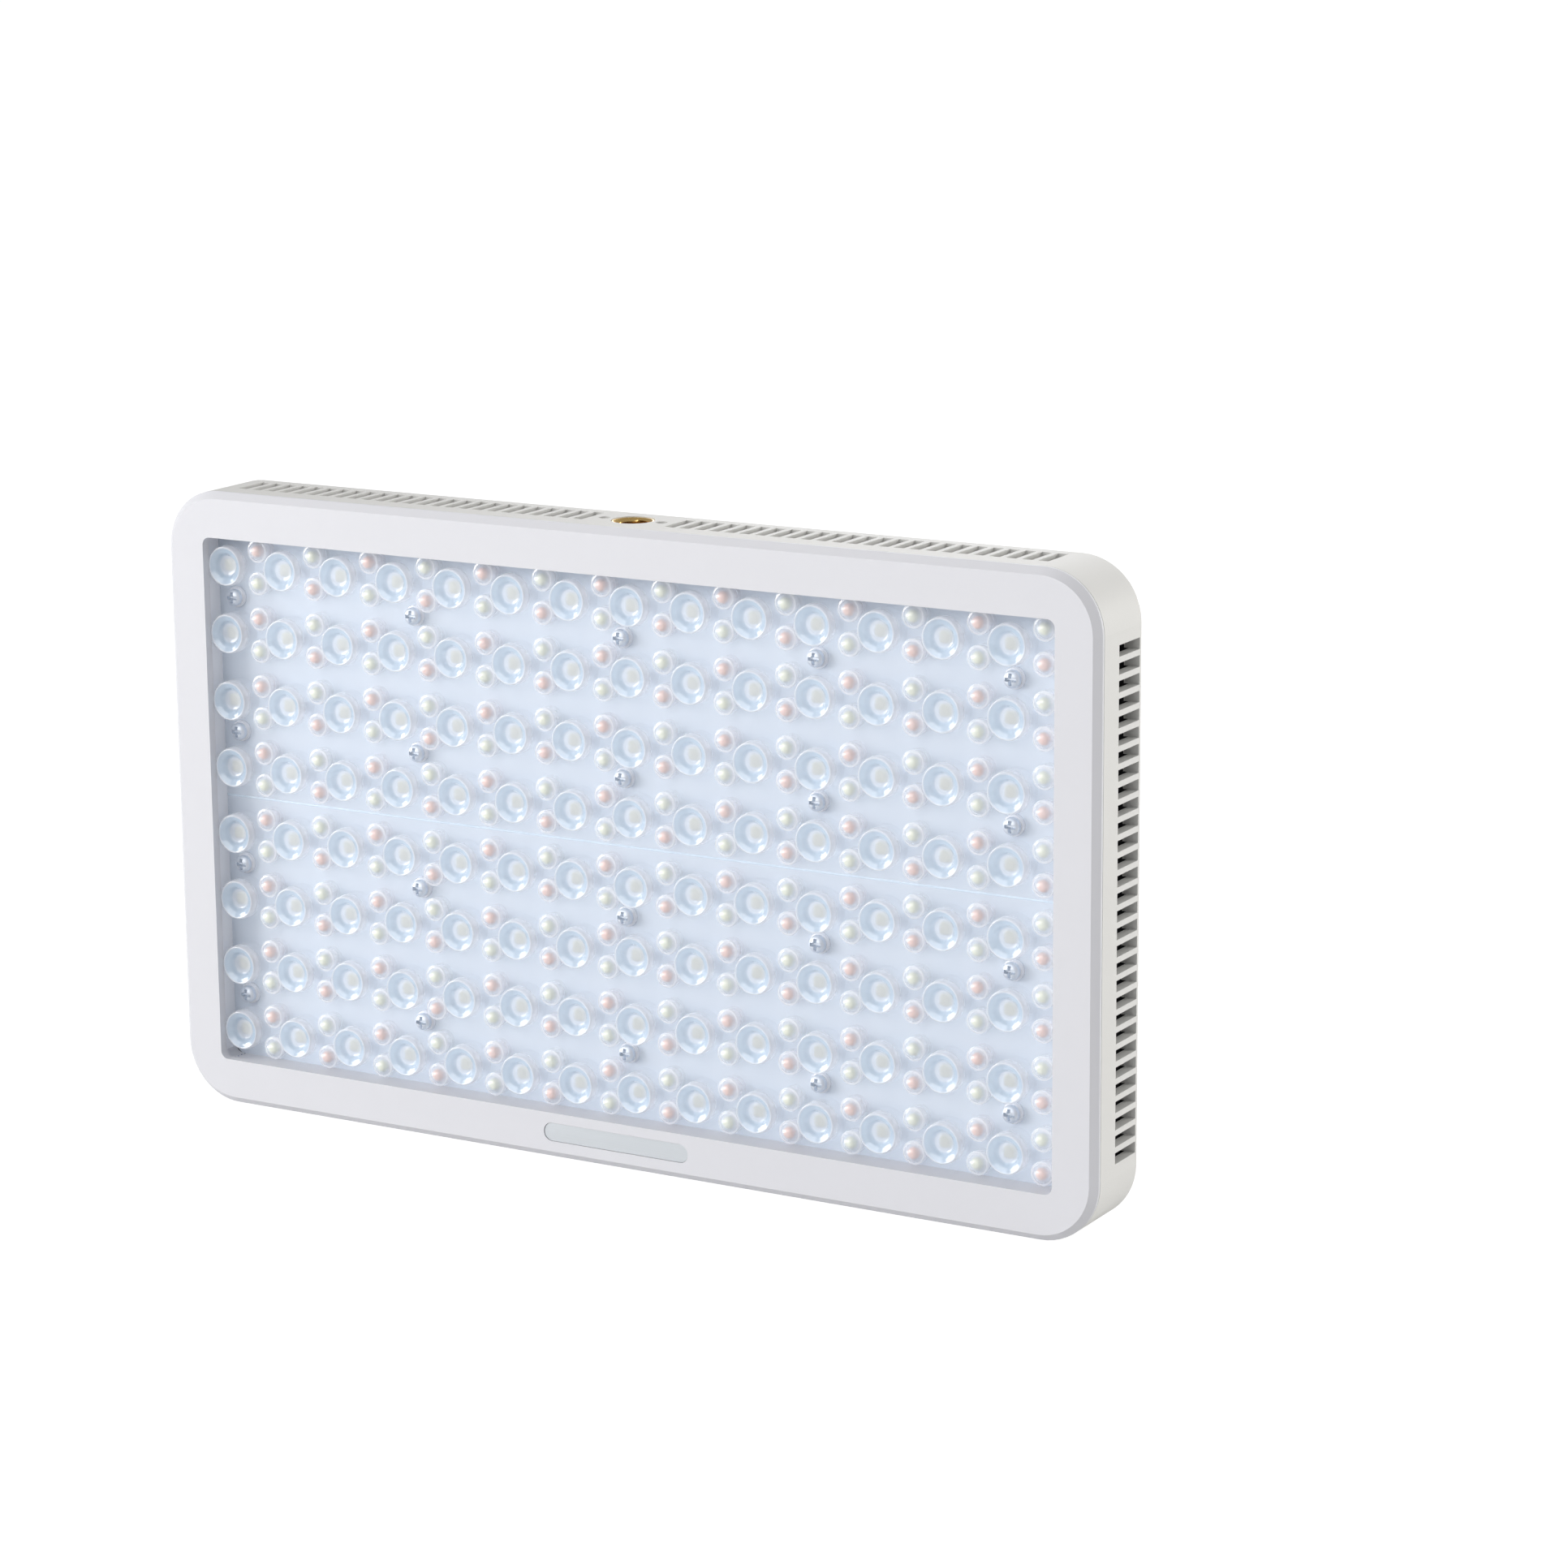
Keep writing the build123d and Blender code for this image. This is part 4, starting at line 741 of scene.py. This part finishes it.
def emitterPiece(name, node, look, finishName, slotName, places, *hidden):
    form = squareDome(look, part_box(node)[1][1])
    finished(closedForm(name, *repeated(*form, places)), finishName, "panel", slotName, *hidden)


mainPlaces = [(x, z) for z in emitterRows for x in emitterColumns]
emitterPiece("mainEmitterCases", "main_emitters", emitterLook["case"], "emitterCase", "board_white", mainPlaces)
emitterPiece("mainPhosphor", "main_emitters", emitterLook["main"], "phosphorMain", "emitter_main", mainPlaces,
             "main_emitters")


def tintedPlaces(warm):
    # on odd columns the warm emitter is the upper of the two, on even columns the lower one
    places = []
    for z in smallRows:
        upperOfPair = z > min(emitterRows, key=lambda row: abs(row - z))
        places += [(x, z) for index, x in enumerate(smallColumns) if (upperOfPair == (index % 2 == 0)) == warm]
    return places


# soft gel fills the hollow between each emitter and its lens
gelForm = turned(inMetres(emitterLook["smallGel"]), emitterLook["smallGelSides"])
for name in ("warm", "cool"):
    places = tintedPlaces(name == "warm")
    finishName, slotName, node = f"phosphor{name.capitalize()}", f"emitter_{name}", f"{name}_emitters"
    emitterPiece(name + "Phosphor", node, emitterLook["small"], finishName, slotName, places, node)
    finished(closedForm(name + "Gel", *repeated(*gelForm, places)), finishName, "panel", slotName)
squareGel = emitterLook["squareGel"]
mainGel = closedForm("mainGel", *repeated(*squareDome(squareGel, place(squareGel["base"])), mainPlaces))
finished(mainGel, "phosphorMain", "panel", "emitter_main")
print("emitters made")

# A thread is a radius that rises and falls as a triangle of (height / pitch + turn angle / full turn).
insertLook = {"pitch": 1.5875, "threadDepth": 0.6, "leadIn": 0.55, "sides": 64, "rowsPerPitch": 6, "edge": 0.25,
              "grooveDepth": 0.6, "grooveHalf": 0.75, "mouthLip": 0.12}


def threadedBush(name, node, body):
    low, high, centreX, z0, outer = middleAndHalf(node)
    centreY = (low[1] + high[1]) / 2
    bore = next(m["dims"]["r_mm"] for m in frame["record"]["mounts"] if m["name"] == "top_thread") * mm
    pitch, lead, edge = (insertLook[key] * mm for key in ("pitch", "leadIn", "edge"))
    depth, grooveHalf, lip = (insertLook[key] * mm for key in ("threadDepth", "grooveHalf", "mouthLip"))
    rows = int(insertLook["rowsPerPitch"] * (high[2] - low[2] - 2 * lead) / pitch)
    inside = np.linspace(high[2] - lead, low[2] + lead, rows)
    angle = fullTurn(insertLook["sides"])
    phase = (inside[:, None] / pitch + angle / (2 * math.pi)) % 1.0
    ridge = np.clip(1.3 * np.abs(2 * phase - 1) - 0.1, 0, 1)
    groove = outer - insertLook["grooveDepth"] * mm
    outside = np.array([
        (groove, z0 + grooveHalf), (outer, z0 + grooveHalf), (outer, high[2] - edge), (outer - edge, high[2]),
        (bore + depth + lip, high[2]),
    ])
    underside = np.array([
        (bore + depth + lip, low[2]), (outer - edge, low[2]), (outer, low[2] + edge), (outer, z0 - grooveHalf),
        (groove, z0 - grooveHalf), (groove, z0 + grooveHalf),
    ])
    even = np.ones(len(angle))
    radius = np.vstack([outside[:, :1] * even, bore + depth * ridge, underside[:, :1] * even])
    height = np.concatenate([outside[:, 1], inside, underside[:, 1]])
    verts = cornersFrom(centreX + radius * np.cos(angle), centreY + radius * np.sin(angle), height[:, None])
    piece = closedForm(name, verts, gridFaces(len(height), len(angle)), sharpAngle=35)
    finished(piece, "insertBrass", body, "insert_brass", node)


threadedBush("topInsert", "top_thread_insert", "panel")
threadedBush("bottomInsert", "bottom_thread_insert", "panel")

# A pan head is a disc whose height falls with the fourth power of its radius; the cross slot is where
# either distance from the middle is under the blade's half width and the other under its half length.
screwLook = {"shares": (0.13, 0.26, 0.38, 0.5, 0.6, 0.7, 0.84, 0.95, 1.0), "sides": 32, "slotWidth": 0.17,
             "slotLength": 0.62, "slotDepth": 0.55, "crown": 0.4, "tipLength": 0.4, "tipShare": 0.6}
screwSets = {
    "lens_screws": {"head": 2.1, "rise": 1.8, "shank": 1.25, "inFront": True, "finish": "screwNickel"},
    "bezel_screws": {"head": 2.4, "rise": 1.4, "shank": 1.0},
    "heat_sink_screws": {"head": 2.4, "rise": 1.4, "shank": 1.0},
    "cover_screws": {"head": 2.4, "rise": 1.4, "shank": 1.25},
    "fan_screws": {"head": 2.8, "rise": 1.4, "shank": 1.5},
    "battery_plate_screws": {"head": 2.3, "rise": 1.2, "shank": 1.0},
}


def screwForm(look, outerY, tipY):
    # one screw along Y, its head's top at outerY
    sides = screwLook["sides"]
    angle = fullTurn(sides)
    share = np.array(screwLook["shares"])[:, None]
    rise = look["rise"] * mm
    x, z = np.abs(share * np.cos(angle)), np.abs(share * np.sin(angle))
    wide, long = screwLook["slotWidth"], screwLook["slotLength"]
    slot = ((x < wide) & (z < long)) | ((z < wide) & (x < long))
    depth = np.where(slot, screwLook["slotDepth"] * rise, screwLook["crown"] * rise * share ** 4)
    shank, length = look["shank"] / look["head"], abs(tipY - outerY)
    tail = np.array([(1.0, rise), (shank, rise), (shank, length - screwLook["tipLength"] * mm),
                     (screwLook["tipShare"] * shank, length)])
    radius = np.vstack([share, tail[:, :1]]) * look["head"] * mm
    depth = np.vstack([depth, np.repeat(tail[:, 1:], sides, 1)])
    inward = 1 if tipY > outerY else -1
    verts = cornersFrom(radius * np.cos(angle), outerY + inward * depth, radius * np.sin(angle))
    faces = gridFaces(len(depth), sides) + ringToPoint(0, sides, len(verts))
    faces += ringToPoint(len(verts) - sides, sides, len(verts) + 1)
    return np.vstack([verts, [0, outerY + inward * screwLook["slotDepth"] * rise, 0], [0, tipY, 0]]), faces


for node, look in screwSets.items():
    low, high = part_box(node)
    form = screwForm(look, *((low[1], high[1]) if look.get("inFront") else (high[1], low[1])))
    first, *others = node.split("_")
    name = first + "".join(word.capitalize() for word in others)
    piece = closedForm(name, *repeated(*form, gridPlaces(node, 8 * mm)), sharpAngle=30)
    finished(piece, look.get("finish", "screwSteel"), "panel", "screw_steel", node)
print("inserts and screws made")

# Each rib in the well is a half round strip laid along X on its floor or ceiling, its ends rounded off.
ribLook = {"depths": (3.4, 4.7, 6.1, 7.5), "rise": 0.34, "width": 0.72, "shortBy": 4.0, "sunk": 0.1,
           "roundSteps": 7, "endSteps": 5, "leastSwell": 0.02}


def wellRibs():
    rise, halfWidth, sunk = ribLook["rise"] * mm, ribLook["width"] * mm / 2, ribLook["sunk"] * mm
    halfLength = wellHalf[0] - ribLook["shortBy"] * mm
    ends = np.sin(np.linspace(0, math.pi / 2, ribLook["endSteps"]))
    half = np.stack([-halfLength + halfWidth * (1 - ends), ends], -1)
    path = np.vstack([half, half[::-1] * (-1, 1)])
    path = path[np.argsort(path[:, 0])]
    swell = np.maximum(path[:, 1:], ribLook["leastSwell"])
    turn = np.linspace(0, math.pi, ribLook["roundSteps"])
    rows, columns = len(path), len(turn)
    verts, faces = [], []
    for wallZ, side in ((midZ - wallHalf, 1), (midZ + wallHalf, -1)):
        for depth in ribLook["depths"]:
            faces += [[corner + len(verts) * rows * columns for corner in f] for f in cappedGrid(rows, columns)]
            y = place(depth) + swell * halfWidth * np.cos(turn)
            z = wallZ + side * (swell * rise * np.sin(turn) - sunk)
            verts.append(cornersFrom(path[:, :1], y, z))
    piece = closedForm("wellRibs", np.vstack(verts), faces, sharpAngle=60)
    # the ribs are coloured darker than the well: painted shade
    finished(piece, "ribLavender", "panel", "bezel_white")


wellRibs()

# A dial's fluted side is the profile's radius less a flute depth times a raised cosine of (flutes x angle).
dialLook = {"flutes": 20, "fluteDepth": 0.55, "sides": 160, "dish": 0.3, "markLength": 2.6, "markWidth": 0.9,
            "markShortBy": 2.1, "markSteps": 9, "boreGap": 0.05}


def dial(name, node, body):
    low, high, x0, z0, outer = middleAndHalf(node)
    shaftHigh, bore = (middleAndHalf(node.replace("knob", "shaft"))[index] for index in (1, 4))
    bore += dialLook["boreGap"] * mm
    top = high[1]
    dish = top - dialLook["dish"] * mm
    # radius, depth, share of the flutes
    table = np.array([
        (bore, shaftHigh[1], 0), (bore, low[1], 0), (outer - 0.5 * mm, low[1], 0), (outer, low[1] + 0.3 * mm, 0),
        (outer, low[1] + 0.95 * mm, 0), (outer, low[1] + 1.15 * mm, 1), (outer, top - 1.1 * mm, 1),
        (outer - 0.15 * mm, top - 0.5 * mm, 1), (outer - 0.5 * mm, top - 0.12 * mm, 0.6), (outer - mm, top, 0.1),
        (outer - 1.5 * mm, top - 0.02 * mm, 0), (outer - 1.9 * mm, dish, 0), (outer - 4 * mm, dish, 0),
        (2 * mm, dish - 0.1 * mm, 0), (0.4 * mm, dish - 0.12 * mm, 0),
    ])
    angle = fullTurn(dialLook["sides"])
    flute = (0.5 + 0.5 * np.cos(dialLook["flutes"] * angle)) ** 2
    radius = table[:, :1] - table[:, 2:] * dialLook["fluteDepth"] * mm * flute
    verts = cornersFrom(x0 + radius * np.cos(angle), table[:, 1:2], z0 + radius * np.sin(angle))
    piece = closedForm(name, verts, cappedGrid(len(table), len(angle)), sharpAngle=40)
    finished(piece, "knobGrey", body, "knob_grey", node)
    # pointer: a rounded bar that fills the dish near the rim, pointing up
    halfWidth = dialLook["markWidth"] * mm / 2
    reach = outer - dialLook["markShortBy"] * mm
    turn = np.linspace(0, math.pi, dialLook["markSteps"])
    across, along = halfWidth * np.cos(turn), halfWidth * np.sin(turn)
    upper = np.stack([x0 + across, z0 + reach - halfWidth + along], -1)
    lower = np.stack([x0 - across, z0 + reach - dialLook["markLength"] * mm - along], -1)
    outline = np.vstack([upper, lower])
    middle = outline.mean(0)
    levels = [(1.0, dish - 0.05 * mm), (1.0, top - 0.12 * mm), (0.85, top - 0.04 * mm)]
    bar = np.vstack([np.insert(middle + (outline - middle) * share, 1, y, axis=1) for share, y in levels])
    pointer = closedForm(name + "Pointer", bar, cappedGrid(len(levels), len(outline)), sharpAngle=30)
    finished(pointer, "markWhite", body, "knob_grey")


dial("intensityDial", "intensity_knob", "intensity_dial")
dial("colourDial", "colour_knob", "colour_dial")

# A push button is a profile turned about the depth axis: domed cap, straight side, flange inside the panel, stem.
buttonLook = {"dome": 0.28, "sides": 40, "flange": 1.0, "flangeOver": 0.7, "capLength": 3.7, "stem": 1.5, "ring": 2.6}


def pushButton(name, node, body):
    low, high, x0, z0, flange = middleAndHalf(node)
    cap = flange - buttonLook["flangeOver"] * mm
    top = high[1]
    dome, stem, ring = (buttonLook[key] * mm for key in ("dome", "stem", "ring"))
    rim = top - dome
    inner = top - buttonLook["capLength"] * mm
    rear = inner - buttonLook["flange"] * mm
    profile = [
        (0, top), (1.2 * mm, top - 0.1 * dome), (2.1 * mm, top - 0.35 * dome), (ring, rim),
        (2.75 * mm, rim - 0.12 * mm), (2.95 * mm, rim - 0.12 * mm), (3.1 * mm, rim), (cap - 0.3 * mm, rim - 0.15 * mm),
        (cap - 0.08 * mm, rim - 0.4 * mm), (cap, top - 1.0 * mm), (cap, inner), (flange, inner), (flange, rear),
        (stem, rear), (stem, low[1] + 0.3 * mm), (stem - 0.3 * mm, low[1]), (0, low[1]),
    ]
    form = turned(profile, buttonLook["sides"])
    piece = closedForm(name, *repeated(*form, [(x0, z0)]), sharpAngle=50)
    finished(piece, "buttonRubber", body, "button_rubber", node)


for label in ("menu", "mode", "effects", "wireless"):
    pushButton(f"{label}Key", f"{label}_button", f"{label}_key")

# A fan blade is a strip from hub to tip: its turn angle grows with radius and with its place along the chord,
# its depth follows the chord, and its camber is a half sine of the chord.
fanLook = {"blades": 7, "sweep": 0.42, "chord": 0.62, "camber": 0.36, "thick": (0.91, 0.49), "steps": (9, 9),
           "edgeThick": 0.35, "tipNarrow": 0.25, "inset": 0.6, "hubWall": 1.4, "hubOver": 2.6, "shaft": 1.0,
           "hubSides": 48}


def fanBlades(name, node, body):
    low, high, x0, z0, halfWidth = middleAndHalf(node)
    tip = halfWidth - 0.2 * mm
    hub = middleAndHalf("fan_stator")[4] + fanLook["hubOver"] * mm
    front, rear = low[1] + fanLook["inset"] * mm, high[1] - fanLook["inset"] * mm
    spans, chords = fanLook["steps"]
    u = np.linspace(0, 1, spans)[:, None]
    v = np.linspace(0, 1, chords)[None, :]
    radius = hub - 0.3 * mm + (tip - hub + 0.3 * mm) * u + 0 * v
    bend = fanLook["camber"] * mm * np.sin(math.pi * v)
    atHub, atTip = fanLook["thick"]
    plump = fanLook["edgeThick"] + np.sin(math.pi * v) * (1 - fanLook["edgeThick"])
    halfThick = mm * (atHub + (atTip - atHub) * u) * plump / 2
    # the rounded tip: the chord narrows over the outer fifth of the span
    chordPlace = 0.5 + (v - 0.5) * (1 - fanLook["tipNarrow"] * np.clip((u - 0.8) / 0.2, 0, 1) ** 2)
    turn = fanLook["sweep"] * u ** 1.3 + fanLook["chord"] * (chordPlace - 0.5)
    base = front + (rear - front) * chordPlace
    far = spans * chords
    border = np.concatenate([
        np.arange(chords), np.arange(1, spans) * chords + chords - 1,
        (spans - 1) * chords + np.arange(chords - 2, -1, -1), np.arange(spans - 2, 0, -1) * chords,
    ])
    after = np.roll(border, -1)
    grid = np.array(gridFaces(spans, chords, wrap=False))
    blade = np.vstack([grid, grid[:, ::-1] + far, np.stack([border, after, after + far, border + far], -1)])
    verts, faces = [], []
    for index in range(fanLook["blades"]):
        spin = turn + 2 * math.pi * index / fanLook["blades"]
        faces += (blade + index * 2 * far).tolist()
        for sign in (1, -1):
            side = spin - sign * halfThick / radius
            depth = base + bend + sign * halfThick
            verts.append(cornersFrom(x0 + radius * np.cos(side), depth, z0 + radius * np.sin(side)))
    piece = closedForm(name, np.clip(np.vstack(verts), low, high), faces, sharpAngle=50)
    finished(piece, "fanBlack", body, "fan_black", node)
    wall, shaft = fanLook["hubWall"] * mm, fanLook["shaft"] * mm
    cup = [
        (shaft, low[1]), (hub - 1.6 * mm, low[1]), (hub - 0.5 * mm, low[1] + 0.3 * mm), (hub, low[1] + 1.3 * mm),
        (hub, high[1]), (hub - wall, high[1]), (hub - wall, low[1] + wall), (shaft, low[1] + wall), (shaft, low[1]),
    ]
    form = turned(cup, fanLook["hubSides"])
    cupPiece = closedForm(name + "Hub", *repeated(*form, [(x0, z0)]), sharpAngle=35)
    finished(cupPiece, "fanBlack", body, "fan_black")


fanBlades("fanBlades", "fan_rotor", "fan")
print("controls and fan made")

view = {"fromFront": (0.56636, -0.89396, 0.25902), "yaw": 0.525149923, "pitch": 0.225186312, "roll": -0.00826148911,
        "lens": 104.12}


def putAt(thing, name, across, over, away, spot):
    # an object of its own axes and place, linked into the scene
    holder = bpy.data.objects.new(name, thing)
    rows = np.column_stack([across, over, away, spot])
    holder.matrix_world = Matrix([*rows.tolist(), [0, 0, 0, 1]])
    bpy.context.scene.collection.objects.link(holder)
    return holder


def addCamera():
    # stands off from the middle of the front face, turned by yaw, tipped down by pitch, then rolled
    yaw, pitch, roll = view["yaw"], view["pitch"], view["roll"]
    right = np.array([math.cos(yaw), math.sin(yaw), 0.0])
    level = np.array([-math.sin(yaw), math.cos(yaw), 0.0])
    upright = np.array([0.0, 0.0, 1.0])
    forward = level * math.cos(pitch) - upright * math.sin(pitch)
    above = upright * math.cos(pitch) + level * math.sin(pitch)
    across = right * math.cos(roll) + above * math.sin(roll)
    over = -right * math.sin(roll) + above * math.cos(roll)
    spot = np.array([midX, frontY, midZ]) + np.array(view["fromFront"])
    data = bpy.data.cameras.new("camera")
    data.sensor_width = 36.0
    data.lens = view["lens"]
    data.clip_start = 0.01
    bpy.context.scene.camera = putAt(data, "camera", across, over, -forward, spot)


addCamera()

lamps = {
    "frontPanel": {"spot": (-0.35, -2.3, 1.4), "size": (2.0, 1.6), "power": 21.0, "colour": (1.0, 0.998, 0.996)},
    "leftSoftbox": {"spot": (-1.6, -1.14, 0.42), "size": (1.1, 0.8), "power": 20.5, "colour": (1.0, 1.0, 1.0)},
    "fillPanel": {"spot": (1.6, 1.2, 0.5), "size": (0.8, 0.8), "power": 21.0, "colour": (1.0, 0.99, 0.965)},
    "backPanel": {"spot": (-0.5, 1.75, 0.8), "size": (1.2, 0.8), "power": 11.0, "colour": (1.0, 1.0, 1.0)},
}
room = {"world": (0.43, 0.43, 0.436), "seen": (1.15, 1.15, 1.15), "floorSize": 30.0, "floorGlow": 1.2,
        "floorShare": 0.8}
floorLook = {"colour": (0.76, 0.76, 0.76), "cloud": (0.74, 0.74, 0.74), "rough": (0.6, 0.75), "cloudScale": 3.0,
             "grainScale": 500.0, "bump": 0.02}


def addLamp(name, look):
    # a soft rectangle that faces the middle of the light
    data = bpy.data.lights.new(name, "AREA")
    data.shape = "RECTANGLE"
    data.size, data.size_y = look["size"]
    data.energy = look["power"]
    data.color = look["colour"]
    spot = np.array(look["spot"])
    away = spot - np.array([midX, 0, midZ])
    away = away / np.linalg.norm(away)
    across = np.cross([0, 0, 1], away)
    across = across / np.linalg.norm(across)
    putAt(data, name, across, np.cross(away, across), away, spot)


def studioWorld():
    # the backdrop is plain white to the eye, while the light that it throws is softer
    world = bpy.data.worlds.new("studio")
    world.use_nodes = True
    tree = world.node_tree
    lit = tree.nodes["Background"]
    setInputs(lit, {"Color": room["world"]})
    seen = addNode(tree, "Background", {"Color": room["seen"]})
    eye = addNode(tree, "LightPath").outputs["Is Camera Ray"]
    setInputs(tree.nodes["World Output"], {"Surface": mixShader(tree, eye, lit, seen)})
    bpy.context.scene.world = world


def studioFloor():
    # to the eye the floor glows to near white, so that it meets the backdrop unseen; its light stays soft
    material = mouldedPlastic("floorWhite", floorLook)
    tree = material.node_tree
    glow = addNode(tree, "Emission", {"Strength": room["floorGlow"]})
    eye = addNode(tree, "LightPath").outputs["Is Camera Ray"]
    share = mathNode(tree, "MULTIPLY", eye, room["floorShare"])
    mixed = mixShader(tree, share, tree.nodes["Principled BSDF"], glow)
    setInputs(tree.nodes["Material Output"], {"Surface": mixed})
    reach, level = room["floorSize"] / 2, cadBox[0][2]
    corners = [(-reach, -reach, level), (reach, -reach, level), (reach, reach, level), (-reach, reach, level)]
    floor = meshFrom("floor", corners, [(0, 1, 2, 3)], smooth=False)
    floor.data.materials.append(material)


for name, look in lamps.items():
    addLamp(name, look)
studioWorld()
studioFloor()
bpy.context.scene.view_settings.view_transform = "Standard"
print("camera, lamps and floor made")
